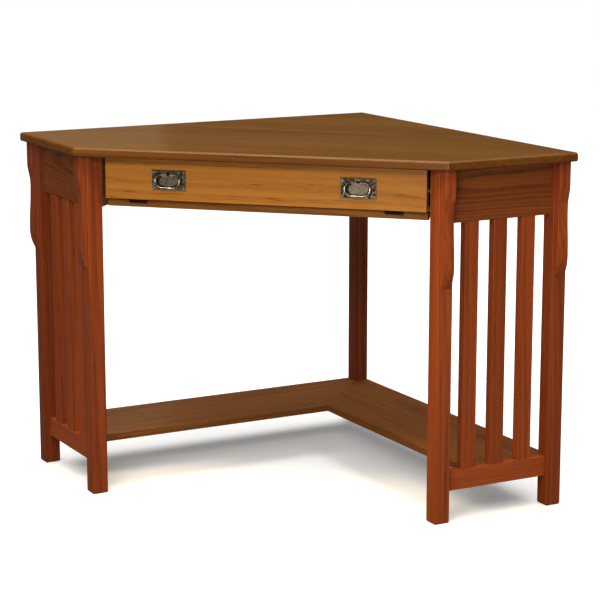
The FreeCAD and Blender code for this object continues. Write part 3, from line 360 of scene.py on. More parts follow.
class Cut(NamedTuple):
    """How a board was sawn from the log."""
    pith_y: float          # where the log's pith lay, across and through the board
    pith_z: float
    spacing: float         # width of a ring
    taper: float           # slope of the rings along the board
    contrast: float
    pores: float
    wobble: float
    stave: float = 10.0    # width of one stave; wider than any board, where there are none


FLAT_TOP = Cut(0.03, -0.30, 6.0 * MM, 0.010, 0.30, 0.45, 0.020, stave=142 * MM)
FLAT_SHELF = Cut(0.02, -0.20, 6.0 * MM, 0.012, 0.30, 0.45, 0.020, stave=106 * MM)
FLAT_FACE = Cut(-0.16, 0.02, 4.5 * MM, 0.010, 0.34, 0.65, 0.022)
PLAIN_APRON = Cut(-0.10, 0.02, 4.0 * MM, 0.022, 0.50, 0.70, 0.034)
QUARTER = Cut(0.16, 0.10, 3.4 * MM, 0.004, 0.26, 0.60, 0.012)
ROUGH_INSIDE = Cut(0.08, -0.10, 9.0 * MM, 0.030, 0.50, 0.50, 0.030)

RIM_TOP, RIM_BELOW = 0.5 * MM, 4 * MM      # depths between which a rim's tint comes in
ARRIS_RADIUS = 2.5 * MM
ARRIS_WEAR_AND_HIGHLIGHT_TINT = (1.55, 1.42, 1.30, 1.0)       # how much paler the arrises are: rubbed wear and a painted highlight
ARRIS_WEAR_AND_HIGHLIGHT_SHARE = 0.55
GRAIN_DEPTH = 0.25 * MM


def wood_material(name, node, light, dark, direction, cut, seed, gloss=0.30, rim=None):
    """Lacquered oak for one board, with its own stretch of grain.

    rim: how the stain is tinted on the board's edges, where the end grain drinks more of it.
    """
    low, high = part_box(node)
    centre = (low + high) / 2
    turn = grain_turn(direction)
    moved = centre.copy()
    moved.rotate(turn)
    material, tree, shader = new_material(name)
    coordinates = tree.add("ShaderNodeTexCoord")
    mapping = tree.add("ShaderNodeMapping", {
        "Vector": coordinates.outputs["Object"], "Location": tuple(-moved), "Rotation": turn})
    grain = place_group(tree, grain_group(), {
        "Vector": mapping.outputs[0], "Light": opaque(light), "Dark": opaque(dark),
        "Ring Spacing": cut.spacing, "Pith Y": cut.pith_y, "Pith Z": cut.pith_z,
        "Taper": cut.taper, "Contrast": cut.contrast, "Pores": cut.pores, "Seed": seed,
        "Stave Width": cut.stave, "Wobble": cut.wobble})
    shade = grain["Color"]
    if rim:
        level = tree.add("ShaderNodeSeparateXYZ", {"Vector": coordinates.outputs["Object"]})
        below = tree.smooth(level.outputs["Z"], high.z - RIM_TOP, high.z - RIM_BELOW)
        shade = tree.mix(below, shade, tree.mix(1.0, shade, opaque(rim), "MULTIPLY"))
    # arrises are painted paler in noisy patches: partly rubbed wear, partly a painted highlight
    # along the edges
    edge = place_group(tree, edge_group(), {"Radius": ARRIS_RADIUS})
    worn = tree.mix(1.0, shade, ARRIS_WEAR_AND_HIGHLIGHT_TINT, "MULTIPLY")
    arris_wear_and_highlight_noise = tree.noise(mapping.outputs[0], 55.0, 3.0, 0.65)
    share = tree.math("MULTIPLY", edge["Mask"], tree.smooth(arris_wear_and_highlight_noise, 0.42, 0.66))
    share = tree.math("MULTIPLY", share, ARRIS_WEAR_AND_HIGHLIGHT_SHARE)
    tree.feed(shader.inputs["Base Color"], tree.mix(share, shade, worn))
    tree.feed(shader.inputs["Roughness"], grain["Roughness"])
    tree.bump(shader, grain["Height"], 0.35, GRAIN_DEPTH)
    shader.inputs["Coat Weight"].default_value = gloss
    shader.inputs["Coat Roughness"].default_value = 0.16
    shader.inputs["Specular IOR Level"].default_value = 0.22
    return material


def finish_node(node, material):
    """Gives a CAD node its material in every slot."""
    thing = frame["nodes"][node]
    if not thing.material_slots:
        thing.data.materials.append(material)
    for slot in thing.material_slots:
        slot.link = "OBJECT"
        slot.material = material


def tint(shade, factor):
    return tuple(min(1.0, channel * factor) for channel in shade)


def slot_colour(slot):
    """The base colour that the record gives a material slot."""
    return next(tuple(entry["base_color"]) for entry in frame["record"]["materials"]
                if entry["slot"] == slot)


# boards painted darker or paler to stand in for the light and shade that fall on them: painted
# shade on the back, rear and left pieces, the slats and the corbels, painted light on the near
# right front leg
PAINTED_LIGHT_AND_SHADE_TONES = {"back_leg": 0.66, "left_rear_leg": 0.64, "left_front_leg": 0.84, "right_rear_leg": 0.80,
         "right_front_leg": 1.06, "left_rear_corbel": 0.66, "left_front_corbel": 0.84,
         "left_rear_slat": 0.84, "left_middle_slat": 0.88, "left_front_slat": 0.90,
         "right_middle_slat": 0.92, "right_front_slat": 0.92}


def finish_boards(boards, light, dark, gloss=0.30, spread=0.06, rim=None):
    """boards: (node, grain direction, cut). Neighbouring boards differ a little in tone, and some
    boards are painted darker or paler as painted shade and light.
    """
    for index, (node, direction, cut) in enumerate(boards):
        seed = 1.7 + 3.31 * index + len(node) * 0.37
        # the board's painted shade or light, plus a little random tone between neighbours
        factor = PAINTED_LIGHT_AND_SHADE_TONES.get(node, 1.0) + spread * math.sin(2.4 * index + 0.8 * len(node))
        material = wood_material(f"{node}_oak", node, tint(light, factor), tint(dark, factor),
                                 direction, cut, seed, gloss, rim)
        finish_node(node, material)


class DESK_OT_top(bpy.types.Operator):
    """Stain and lacquer the desktop"""
    bl_idname = "corner_desk.top"
    bl_label = "Finish Top"

    def execute(self, context):
        wood = context.scene.desk_wood
        finish_boards([("desktop", ALONG_X, FLAT_TOP)], wood.top_light, wood.top_dark, 0.35,
                      rim=tuple(wood.top_rim))
        return {"FINISHED"}


class DESK_OT_frame(bpy.types.Operator):
    """Stain the legs, slats, lower rails and corbels"""
    bl_idname = "corner_desk.frame"
    bl_label = "Finish Frame"

    def execute(self, context):
        wood = context.scene.desk_wood
        boards = [("back_leg", UPRIGHT, QUARTER)]
        for side in SIDES:
            for piece in ("rear_leg", "front_leg", "rear_slat", "middle_slat", "front_slat",
                          "rear_corbel", "front_corbel"):
                boards.append((f"{side}_{piece}", UPRIGHT, QUARTER))
            boards.append((f"{side}_lower_rail", ALONG_PANEL[side], QUARTER))
        finish_boards(boards, wood.frame_light, wood.frame_dark)
        return {"FINISHED"}


class DESK_OT_aprons(bpy.types.Operator):
    """Stain the side aprons and the boards along the walls"""
    bl_idname = "corner_desk.aprons"
    bl_label = "Finish Aprons"

    def execute(self, context):
        wood = context.scene.desk_wood
        finish_boards([(f"{side}_side_apron", ALONG_PANEL[side], PLAIN_APRON)
                       for side in SIDES], wood.apron_light, wood.apron_dark)
        finish_boards([(f"{side}_back_apron", ALONG_WALL[side], ROUGH_INSIDE)
                       for side in SIDES], wood.inner_light, wood.inner_dark, 0.1)
        finish_boards([(f"{side}_slide_support", ALONG_Y, ROUGH_INSIDE) for side in SIDES],
                      wood.inner_light, wood.inner_dark, 0.1)
        pale = slot_colour("dowel_wood")
        finish_boards([(f"{side}_{piece}_dowels", ALONG_X, QUARTER) for side in SIDES
                       for piece in ("panel", "wall")], pale, tint(pale, 0.7), 0.0)
        return {"FINISHED"}


class DESK_OT_shelf(bpy.types.Operator):
    """Stain the two arms of the lower shelf"""
    bl_idname = "corner_desk.shelf"
    bl_label = "Finish Shelf"

    def execute(self, context):
        wood = context.scene.desk_wood
        finish_boards([(f"{side}_shelf_board", ALONG_WALL[side], FLAT_SHELF)
                       for side in SIDES], wood.shelf_light, wood.shelf_dark, 0.35, 0.03)
        return {"FINISHED"}


LIP_LIGHT, LIP_DARK = 0.60, 0.56       # the lip's stain against the drop front's
TRAY_TINT = 0.75


class DESK_OT_tray(bpy.types.Operator):
    """Stain the drop front, its lip and the keyboard tray"""
    bl_idname = "corner_desk.tray"
    bl_label = "Finish Tray"

    def execute(self, context):
        wood = context.scene.desk_wood
        finish_boards([("drop_front", ALONG_X, FLAT_FACE)], wood.front_light, wood.front_dark,
                      0.35)
        finish_boards([("tray_lip", ALONG_X, FLAT_FACE)], tint(wood.front_light, LIP_LIGHT),
                      tint(wood.front_dark, LIP_DARK), 0.25)
        boards = [("tray_floor", ALONG_X, FLAT_TOP), ("tray_back", ALONG_X, ROUGH_INSIDE)]
        boards += [(f"{side}_tray_side", ALONG_Y, ROUGH_INSIDE) for side in SIDES]
        finish_boards(boards, tint(wood.front_light, TRAY_TINT),
                      tint(wood.front_dark, TRAY_TINT), 0.2)
        return {"FINISHED"}


# ---------------------------------------------------------------- metal

def metal_material(name, bright, dark, rub, grain, relief_and_shade=None, bump=0.3, rough=0.0):
    """Aged metal. The named mesh attribute says which points are high and rubbed bright, and on
    the backplates also where a painted shadow of the bail falls.
    """
    material, tree, shader = new_material(name)
    coordinates = tree.add("ShaderNodeTexCoord")
    if relief_and_shade:
        high = tree.add("ShaderNodeAttribute", attribute_name=relief_and_shade,
                        attribute_type="GEOMETRY").outputs["Fac"]
    else:
        high = 0.5
    patina = place_group(tree, patina_group(), {
        "Vector": coordinates.outputs["Object"], "Bright": opaque(bright), "Dark": opaque(dark),
        "Relief": high, "Rub": rub, "Grain Scale": grain})
    tree.feed(shader.inputs["Base Color"], patina["Color"])
    tree.feed(shader.inputs["Roughness"], tree.math("ADD", patina["Roughness"], rough))
    shader.inputs["Metallic"].default_value = 1.0
    tree.bump(shader, patina["Height"], bump, 0.1 * MM)
    return material


def plated_material(name, shade, direction):
    """Zinc-plated steel, brushed along one axis."""
    material, tree, shader = new_material(name)
    coordinates = tree.add("ShaderNodeTexCoord")
    stretch = tuple(12.0 if axis == direction else 700.0 for axis in "XYZ")
    brushed = tree.noise(tree.vector("MULTIPLY", coordinates.outputs["Object"], stretch),
                         1.0, 3.0, 0.6)
    spangle = tree.noise(coordinates.outputs["Object"], 90.0, 3.0, 0.6)
    tone = tree.smooth(spangle, 0.3, 0.7, 0.78, 1.05)
    dimmed = tree.mix(1.0, opaque(shade), (0.72, 0.72, 0.74, 1.0), "MULTIPLY")
    tree.feed(shader.inputs["Base Color"], tree.mix(tone, dimmed, opaque(shade)))
    tree.feed(shader.inputs["Roughness"], tree.smooth(brushed, 0.2, 0.8, 0.22, 0.42))
    shader.inputs["Metallic"].default_value = 1.0
    tree.bump(shader, brushed, 0.25, 0.05 * MM)
    return material


def plain_object(name, mesh, body):
    """A finished mesh as an object that sits at the origin and rides on a body."""
    for face in mesh.polygons:
        face.use_smooth = True
    thing = bpy.data.objects.new(name, mesh)
    bpy.context.scene.collection.objects.link(thing)
    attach(thing, body)
    return thing


def mesh_of(made, name, proud=None, material=None):
    """Turns a finished bmesh into a mesh, with an optional list of one number per point for the
    patina and the painted shade.
    """
    bmesh.ops.recalc_face_normals(made, faces=made.faces)
    mesh = bpy.data.meshes.new(name)
    made.to_mesh(mesh)
    made.free()
    if proud:
        mark = mesh.attributes.new("proud", "FLOAT", "POINT")
        mark.data.foreach_set("value", np.array(proud, np.float32))
    if material:
        mesh.materials.append(material)
    return mesh


def skin_rings(made, rings):
    """Faces between each ring of points and the next."""
    for first, second in zip(rings[:-1], rings[1:]):
        for k, vert in enumerate(first):
            after = (k + 1) % len(first)
            made.faces.new((vert, first[after], second[after], second[k]))


def near_rounded_corner(x, z, half_x, half_z, radius):
    """Pulls a point of a rectangle's edge or corner in onto the rounded outline."""
    dx = abs(x) - (half_x - radius)
    dz = abs(z) - (half_z - radius)
    if dx > 0 and dz > 0:
        away = math.hypot(dx, dz)
        if away > radius:
            x = math.copysign(half_x - radius + dx * radius / away, x)
            z = math.copysign(half_z - radius + dz * radius / away, z)
    return x, z


PLATE_COLUMNS, PLATE_ROWS = 150, 86
PLATE_ROLL = 0.9 * MM          # height of the rolled rim over the field
PLATE_RIM = 2.2 * MM           # width of the rolled rim
PLATE_EASE = 1.2 * MM          # width over which the hammer marks start
PLATE_CORNER = 1.5 * MM
DENT_REACH = 0.62              # share of the marks' spacing that one mark takes up
OVAL_WORN, OVAL_BAIL_SHADOW = 0.82, 0.90      # shares of the bail's oval: worn inside, and a ring of painted shadow cast by the bail
OVAL_FADE = 0.2
WORN_AWAY = 0.6                # share of a hammer mark that wear takes off
DENT_SEED = 41


def plate_point(x, z, half, field, oval, dents, settings):
    """Lift off the board, and how high and rubbed a plate's front is at a point, darkened in a
    ring by a painted shadow of the bail.
    """
    inside = min(half[0] - abs(x), half[1] - abs(z))
    gap = np.hypot(dents[:, 0] - x, dents[:, 1] - z).min()
    crown = min(1.0, (gap / (DENT_REACH * settings.dent_spacing)) ** 2)
    if inside < PLATE_RIM:
        turn = inside / PLATE_RIM * math.pi
        lift = field + PLATE_ROLL * math.sin(turn) ** 0.6 if inside > 0 else field * 0.55
        lift -= 0.25 * settings.dent_depth * (1 - crown)
        return lift, 0.35 + 0.65 * math.sin(turn)
    around = math.hypot(x / oval[0], (z - oval[2]) / oval[1])
    rubbed = min(1.0, max(0.0, (OVAL_WORN - around) / OVAL_FADE))
    # painted shadow of the bail: a dark ring along the bail's line
    bail_shadow = max(0.0, 1 - abs(around - OVAL_BAIL_SHADOW) / OVAL_FADE)
    blend = min(1.0, (inside - PLATE_RIM) / PLATE_EASE)
    left = 1 - WORN_AWAY * rubbed
    lift = field - blend * settings.dent_depth * (1 - crown) * left
    return lift, 0.22 + 0.5 * crown * blend * left + 0.34 * rubbed - 0.75 * bail_shadow


def hammered_plate(name, node, bail, seed, material, settings):
    """A backplate with a rolled rim and hammer marks, worn smooth inside the bail, with a painted
    shadow of the bail in a ring along its line.
    """
    low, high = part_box(node)
    centre = (low + high) / 2
    half = ((high.x - low.x) / 2, (high.z - low.z) / 2)
    bail_low, bail_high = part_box(bail)
    oval = ((bail_high.x - bail_low.x) / 2, (bail_high.z - bail_low.z) / 2,
            (bail_low.z + bail_high.z) / 2 - centre.z)
    field = high.y - low.y - PLATE_ROLL
    random = np.random.default_rng(seed)
    count = int(4 * half[0] * half[1] / settings.dent_spacing ** 2)
    dents = random.uniform((-half[0], -half[1]), half, (count, 2))

    made = bmesh.new()
    proud = []
    grid = []
    for i in range(PLATE_COLUMNS + 1):
        line = []
        for j in range(PLATE_ROWS + 1):
            x = half[0] * (2 * i / PLATE_COLUMNS - 1)
            z = half[1] * (2 * j / PLATE_ROWS - 1)
            lift, stands = plate_point(x, z, half, field, oval, dents, settings)
            x, z = near_rounded_corner(x, z, *half, PLATE_CORNER)
            line.append(made.verts.new((centre.x + x, high.y - lift, centre.z + z)))
            proud.append(stands)
        grid.append(line)
    for left, right in zip(grid[:-1], grid[1:]):
        for j in range(PLATE_ROWS):
            made.faces.new((left[j], right[j], right[j + 1], left[j + 1]))
    outline = ([line[0] for line in grid[:-1]] + grid[-1][:-1]
               + [line[-1] for line in reversed(grid[1:])] + grid[0][:0:-1])
    floor = [made.verts.new((v.co.x, high.y, v.co.z)) for v in outline]
    proud += [0.1] * len(floor)
    skin_rings(made, (outline, floor))
    made.faces.new(floor)
    return plain_object(name, mesh_of(made, name, proud, material), "flap")


BAIL_SHOULDER = 12 * MM        # radius of the turn in to each pin
BAIL_WIRE = 2.2 * MM           # radius of the wire above the swell
BAIL_PIN = 1.25 * MM           # radius of the pins that turn in the posts
BAIL_ROOT, BAIL_TIP = 13.7 * MM, 6.4 * MM      # where a pin starts and ends, from the middle
BEAD_RISE, BEAD_LENGTH = 0.35 * MM, 1.6 * MM
BAIL_SIDES = 24


def bail_line(half, drop):
    """The bail's line in its own plane, from the middle of the bottom up to the right pin."""
    belly = drop - BAIL_SHOULDER
    flat = half - belly
    inner = half - BAIL_SHOULDER
    points = [(flat * k / 12, -drop) for k in range(12)]
    for centre, radius, start, steps in (((flat, -BAIL_SHOULDER), belly, -90, 30),
                                         ((inner, -BAIL_SHOULDER), BAIL_SHOULDER, 0, 24)):
        for k in range(steps):
            angle = math.radians(start + 90 * k / steps)
            points.append((centre[0] + radius * math.cos(angle),
                           centre[1] + radius * math.sin(angle)))
    return points + [(inner + (BAIL_TIP - inner) * k / 24, 0.0) for k in range(25)]


def bail_radius(x, z, drop, swell):
    """Radius of the bail at a point of its line, z being 0 along the pins."""
    level = z > -1e-6
    if abs(x) < BAIL_ROOT and level:
        return BAIL_PIN
    radius = BAIL_WIRE + (swell - BAIL_WIRE) * (-z / drop) ** 1.5
    if level:
        bead = min(1.0, (abs(x) - BAIL_ROOT) / BEAD_LENGTH)
        radius += BEAD_RISE * max(0.0, math.sin(math.pi * bead))
    return radius


def forged_bail(name, node, body, material, settings):
    """A forged bail: swelled at the bottom, with a bead before each pin."""
    low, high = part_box(node)
    wire = (high.y - low.y) / 2
    pivot = Vector(((low.x + high.x) / 2, (low.y + high.y) / 2, high.z - wire))
    drop = pivot.z - (low.z + wire)
    right = bail_line((high.x - low.x) / 2 - wire, drop)
    line = [(-x, z) for x, z in reversed(right[1:])] + right
    made = bmesh.new()
    rings = []
    proud = []
    for index, (x, z) in enumerate(line):
        before = line[max(index - 1, 0)]
        after = line[min(index + 1, len(line) - 1)]
        direction = Vector((after[0] - before[0], 0, after[1] - before[1])).normalized()
        outward = Vector((direction.z, 0, -direction.x))
        radius = bail_radius(x, z, drop, settings.bail_swell)
        ring = []
        for k in range(BAIL_SIDES):
            angle = 2 * math.pi * k / BAIL_SIDES
            spread = outward * math.cos(angle) + Vector((0, 1, 0)) * math.sin(angle)
            ring.append(made.verts.new(pivot + Vector((x, 0, z)) + spread * radius))
            # the wire is paler on its front and outer side and darker on its side towards the
            # board
            proud.append(0.40 - 0.38 * math.sin(angle) + 0.12 * math.cos(angle))
        rings.append(ring)
    skin_rings(made, rings)
    made.faces.new(rings[0])
    made.faces.new(list(reversed(rings[-1])))
    return plain_object(name, mesh_of(made, name, proud, material), body)


class DESK_OT_pulls(bpy.types.Operator):
    """Hammered backplates, forged bails, posts and dome nails"""
    bl_idname = "corner_desk.pulls"
    bl_label = "Make Pulls"

    def execute(self, context):
        settings = context.scene.desk_metal
        bright, dark = tuple(settings.pewter), tuple(settings.tarnish)
        plate = metal_material("hammered_pewter", tint(bright, 1.3), tint(dark, 1.3), 0.48,
                               1400.0, "proud", rough=0.12)
        bail = metal_material("rubbed_bail", tint(bright, 1.9), tint(dark, 1.5), 0.72, 1100.0,
                              "proud", 0.15, rough=-0.10)
        bright, dark = tint(bright, 2.0), tint(dark, 4.0)
        post = metal_material("turned_post", bright, dark, 0.85, 1100.0, rough=0.10)
        nail = metal_material("nail_head", bright, dark, 0.85, 1100.0, rough=0.14)
        for index, side in enumerate(SIDES):
            made = hammered_plate(f"{side}_hammered_plate", f"{side}_pull_plate",
                                  f"{side}_bail", DENT_SEED + index, plate, settings)
            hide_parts(f"{side}_pull_plate")
            made = forged_bail(f"{side}_forged_bail", f"{side}_bail", f"{side}_bail", bail,
                               settings)
            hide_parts(f"{side}_bail")
            finish_node(f"{side}_pull_posts", post)
        finish_node("pull_nails", nail)
        return {"FINISHED"}


# ---------------------------------------------------------------- repeated small parts

def mesh_from_tree(name, tree, values, body):
    """Runs a geometry tree on an empty mesh and keeps its result as a plain object."""
    holder = bpy.data.objects.new(name, bpy.data.meshes.new(f"{name}_start"))
    bpy.context.scene.collection.objects.link(holder)
    modifier = holder.modifiers.new("build", "NODES")
    modifier.node_group = tree
    for socket in tree.interface.items_tree:
        if socket.item_type == "SOCKET" and socket.in_out == "INPUT" and socket.name in values:
            modifier[socket.identifier] = values[socket.name]
    graph = bpy.context.evaluated_depsgraph_get()
    mesh = bpy.data.meshes.new_from_object(holder.evaluated_get(graph))
    mesh.name = name
    bpy.data.objects.remove(holder)
    return plain_object(name, mesh, body)


ROW_OUTPUT = [("Geometry", GEOMETRY)]


def finish_row(tree, copies, material, leave):
    """Makes a row's copies real and gives them their material."""
    real = tree.add("GeometryNodeRealizeInstances", {"Geometry": copies.outputs[0]})
    done = tree.add("GeometryNodeSetMaterial", {"Geometry": real.outputs[0],
                                                "Material": material})
    tree.feed(leave[0], done.outputs[0])


def ball_row_tree():
    """A straight row of balls: start, spacing, count and radius."""
    group, tree, entry, leave = new_group("ball_row", [
        ("Start", VECTOR, None), ("Pitch", FLOAT, 6 * MM), ("Count", WHOLE, 20),
        ("Radius", FLOAT, 1.2 * MM), ("Material", "NodeSocketMaterial", None)],
        ROW_OUTPUT, "GeometryNodeTree")
    step = tree.add("ShaderNodeCombineXYZ", {"Y": entry["Pitch"]}).outputs[0]
    line = tree.add("GeometryNodeMeshLine", {
        "Count": entry["Count"], "Start Location": entry["Start"], "Offset": step})
    ball = tree.add("GeometryNodeMeshUVSphere", {"Segments": 14, "Rings": 9,
                                                 "Radius": entry["Radius"]})
    copies = tree.add("GeometryNodeInstanceOnPoints", {
        "Points": line.outputs[0], "Instance": ball.outputs[0]})
    finish_row(tree, copies, entry["Material"], leave)
    return group


def join_meshes(name, things, body):
    """Joins plain objects of one body into one piece."""
    whole = bmesh.new()
    for thing in things:
        whole.from_mesh(thing.data)
    mesh = bpy.data.meshes.new(name)
    whole.to_mesh(mesh)
    whole.free()
    mesh.materials.append(things[0].data.materials[0])
    for thing in things:
        bpy.data.objects.remove(thing)
    return plain_object(name, mesh, body)


SLIDE_WALL = 1.2 * MM          # sheet that the outer members are rolled from
BALL_PITCH = 7.6 * MM
BALL_MARGIN = 12 * MM          # from the end of the middle member to its first ball
BALL_FILL = 0.94               # share of the race that a ball fills


class DESK_OT_slides(bpy.types.Operator):
    """Plate the slide members and fill their races with balls"""
    bl_idname = "corner_desk.slides"
    bl_label = "Finish Slides"

    def execute(self, context):
        settings = context.scene.desk_metal
        zinc = tuple(settings.zinc)
        plated = plated_material("zinc_plated_slide", zinc, "Y")
        steel = metal_material("bearing_steel", tint(zinc, 1.15), tint(zinc, 0.7), 0.9, 2000.0,
                               None, 0.05)
        row = ball_row_tree()
        for side in SIDES:
            boxes = {}
            for member in ("cabinet", "middle", "drawer"):
                node = f"{side}_slide_{member}_member"
                finish_node(node, plated)
                boxes[member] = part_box(node)
            rows = []
            for outer, inner, share in (("cabinet", "middle", "rear"),
                                        ("middle", "drawer", "front")):
                low, high = boxes["middle"]
                outside = boxes[outer][1].z - SLIDE_WALL
                inside = boxes[inner][1].z
                radius = (outside - inside) / 2 * BALL_FILL
                level = (outside + inside) / 2
                centre = (boxes["cabinet"][0].z + boxes["cabinet"][1].z) / 2
                across = (max(boxes[outer][0].x, boxes[inner][0].x)
                          + min(boxes[outer][1].x, boxes[inner][1].x)) / 2
                run = BALL_PITCH * (settings.ball_count - 1)
                start = high.y - BALL_MARGIN - run if share == "rear" else low.y + BALL_MARGIN
                for place_z in (level, 2 * centre - level):
                    rows.append(mesh_from_tree(f"{side}_row{len(rows)}", row, {
                        "Start": (across, start, place_z), "Pitch": BALL_PITCH,
                        "Count": settings.ball_count, "Radius": radius, "Material": steel},
                        f"{side}_slide_middle"))
            join_meshes(f"{side}_slide_balls", rows, f"{side}_slide_middle")
        return {"FINISHED"}


HEAD_RADIUS, HEAD_HEIGHT = 2.3 * MM, 0.13 * MM
HEAD_SIDES, HEAD_STEPS = 32, 6
CROSS_LENGTH, CROSS_WIDTH = 0.62, 0.17      # shares of the head's radius
CROSS_LEFT = 0.1                            # share of the height left in the recess


def screw_head_mesh():
    """A shallow oval screw head with a cross recess, its rim on Z = 0."""
    made = bmesh.new()
    rings = []
    for step in range(HEAD_STEPS, 0, -1):
        distance = HEAD_RADIUS * step / HEAD_STEPS
        ring = []
        for k in range(HEAD_SIDES):
            angle = 2 * math.pi * k / HEAD_SIDES
            x, y = distance * math.cos(angle), distance * math.sin(angle)
            lift = HEAD_HEIGHT * (1 - (distance / HEAD_RADIUS) ** 2)
            if (min(abs(x), abs(y)) < CROSS_WIDTH * HEAD_RADIUS
                    and max(abs(x), abs(y)) < CROSS_LENGTH * HEAD_RADIUS):
                lift *= CROSS_LEFT
            ring.append(made.verts.new((x, y, lift)))
        rings.append(ring)
    skin_rings(made, rings)
    middle = made.verts.new((0, 0, HEAD_HEIGHT * CROSS_LEFT))
    for k, vert in enumerate(rings[-1]):
        made.faces.new((vert, rings[-1][(k + 1) % HEAD_SIDES], middle))
    made.faces.new(list(reversed(rings[0])))
    return mesh_of(made, "screw_head")


def screw_row_tree():
    """Screw heads in a straight row: the head is an object, the row has start, step and turn."""
    group, tree, entry, leave = new_group("screw_row", [
        ("Head", "NodeSocketObject", None), ("Start", VECTOR, None), ("Step", VECTOR, None),
        ("Count", WHOLE, 2), ("Turn", VECTOR, None), ("Material", "NodeSocketMaterial", None)],
        ROW_OUTPUT, "GeometryNodeTree")
    line = tree.add("GeometryNodeMeshLine", {
        "Count": entry["Count"], "Start Location": entry["Start"], "Offset": entry["Step"]})
    head = tree.add("GeometryNodeObjectInfo", {"Object": entry["Head"]})
    copies = tree.add("GeometryNodeInstanceOnPoints", {
        "Points": line.outputs[0], "Instance": head.outputs["Geometry"],
        "Rotation": entry["Turn"]})
    finish_row(tree, copies, entry["Material"], leave)
    return group


SCREW_SPREAD = 0.58            # share of a leaf's length between its screws
SCREW_REACH = 6.2 * MM         # from a leaf's rear edge to its screws
CROSS_TURN = 0.5               # radians by which every cross is turned


class DESK_OT_hinges(bpy.types.Operator):
    """Bronze the hinges and set their screws"""
    bl_idname = "corner_desk.hinges"
    bl_label = "Finish Hinges"

    def execute(self, context):
        bronze = tuple(context.scene.desk_metal.bronze)
        leaf = metal_material("aged_bronze", tint(bronze, 1.9), tint(bronze, 0.35), 0.40, 800.0)
        pin = metal_material("rubbed_bronze", tint(bronze, 3.4), tint(bronze, 0.8), 0.60, 800.0)
        tree = screw_row_tree()
        head = bpy.data.objects.new("screw_head", screw_head_mesh())
        bpy.context.scene.collection.objects.link(head)
        for side in SIDES:
            finish_node(f"{side}_hinge_pin", pin)
            for piece, body, up in (("tray_leaf", "tray", 1), ("flap_leaf", "flap", -1)):
                node = f"{side}_hinge_{piece}"
                finish_node(node, leaf)
                low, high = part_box(node)
                leaf_z = self.leaf_level(node, high.y, up)
                spread = (high.x - low.x) * SCREW_SPREAD
                start = ((low.x + high.x) / 2 - spread / 2, high.y - SCREW_REACH, leaf_z)
                mesh_from_tree(f"{side}_{piece}_screws", tree, {
                    "Head": head, "Start": start, "Step": (spread, 0, 0), "Count": 2,
                    "Turn": (0 if up > 0 else math.pi, 0, CROSS_TURN), "Material": pin},
                    body)
        bpy.data.objects.remove(head)
        return {"FINISHED"}

    @staticmethod
    def leaf_level(node, rear, up):
        """The height of a leaf's free face, read from its rear edge."""
        levels = [v.co.z for v in frame["nodes"][node].data.vertices if v.co.y > rear - MM]
        return max(levels) if up > 0 else min(levels)


class DESK_OT_fittings(bpy.types.Operator):
    """Plate the brackets, screws, nuts and strikes, and colour the catches"""
    bl_idname = "corner_desk.fittings"
    bl_label = "Finish Fittings"

    def execute(self, context):
        zinc = tuple(context.scene.desk_metal.zinc)
        for node in ("top_brackets", "bracket_screws", "pull_nuts", "strike_plates"):
            finish_node(node, plated_material(f"{node}_zinc", zinc, "X"))
        material, tree, shader = new_material("catch_plastic")
        coordinates = tree.add("ShaderNodeTexCoord")
        speck = tree.noise(coordinates.outputs["Object"], 1800.0, 2.0)
        tree.feed(shader.inputs["Base Color"], tree.mix(
            speck, (0.060, 0.030, 0.016, 1.0), (0.095, 0.050, 0.028, 1.0)))
        tree.feed(shader.inputs["Roughness"], tree.smooth(speck, 0.2, 0.8, 0.42, 0.58))
        tree.bump(shader, speck, 0.3, 0.1 * MM)
        finish_node("flap_catches", material)
        return {"FINISHED"}


# ---------------------------------------------------------------- stage

CARD_TONE = (1.0, 0.80, 0.48)

# area lights: name (also of the setting for its power), place, target, size, tone, and
# whether glossy surfaces mirror it
AREA_LIGHTS = (
    ("key", (0.05, -2.75, 1.75), (0.05, -0.2, 0.42), (1.7, 0.55), (1.0, 0.965, 0.92), False),
    # lower than the desktop, so that the metal mirrors it and the desktop never does
    ("front_card", (0.55, -2.9, 0.36), (0.0, -0.38, 0.7), (1.1, 0.55), (1.0, 0.97, 0.92), True),
    ("overhead", (0.1, -1.15, 2.5), (0.0, -0.4, 0.74), (2.6, 0.3), CARD_TONE, True),
    ("rear", (0.0, 3.2, 3.6), (0.0, 0.0, 0.4), (2.4, 1.6), (1.0, 0.98, 0.95), False),
    ("left_card", (-3.4, 4.6, 1.7), (0.0, 0.0, 0.7), (2.6, 1.5), CARD_TONE, True),
    ("right_card", (1.9, 5.0, 1.7), (0.0, 0.0, 0.7), (1.6, 1.5), CARD_TONE, True),
)
CEILING_TONE = (1.0, 0.995, 0.98)
CEILING_SPREAD = math.radians(85)
CEILING_TILT = (math.radians(4), math.radians(-5), 0.0)
FLOOR_REACH = 30.0
FLOOR_IN_DIFFUSE, FLOOR_IN_GLOSS = 0.32, 0.05      # floor as the desk's faces and gloss see it
ROOM_TONE = (1.0, 0.985, 0.96, 1.0)
ROOM_IN_GLOSS = 0.02


def place_light(name, kind, power, tone, turn):
    data = bpy.data.lights.new(name, kind)
    data.energy = power
    data.color = tone
    lamp = bpy.data.objects.new(name, data)
    lamp.rotation_euler = turn
    bpy.context.scene.collection.objects.link(lamp)
    return lamp, data


def set_lights(settings):
    _, data = place_light("ceiling", "SUN", settings.ceiling, CEILING_TONE, CEILING_TILT)
    data.angle = CEILING_SPREAD
    for name, place, target, size, tone, glossy in AREA_LIGHTS:
        aim = Vector(target) - Vector(place)
        lamp, data = place_light(name, "AREA", getattr(settings, name), tone,
                                 aim.to_track_quat("-Z", "Y").to_euler())
        lamp.location = place
        lamp.visible_camera = False
        lamp.visible_glossy = glossy
        data.shape = "RECTANGLE"
        data.size, data.size_y = size


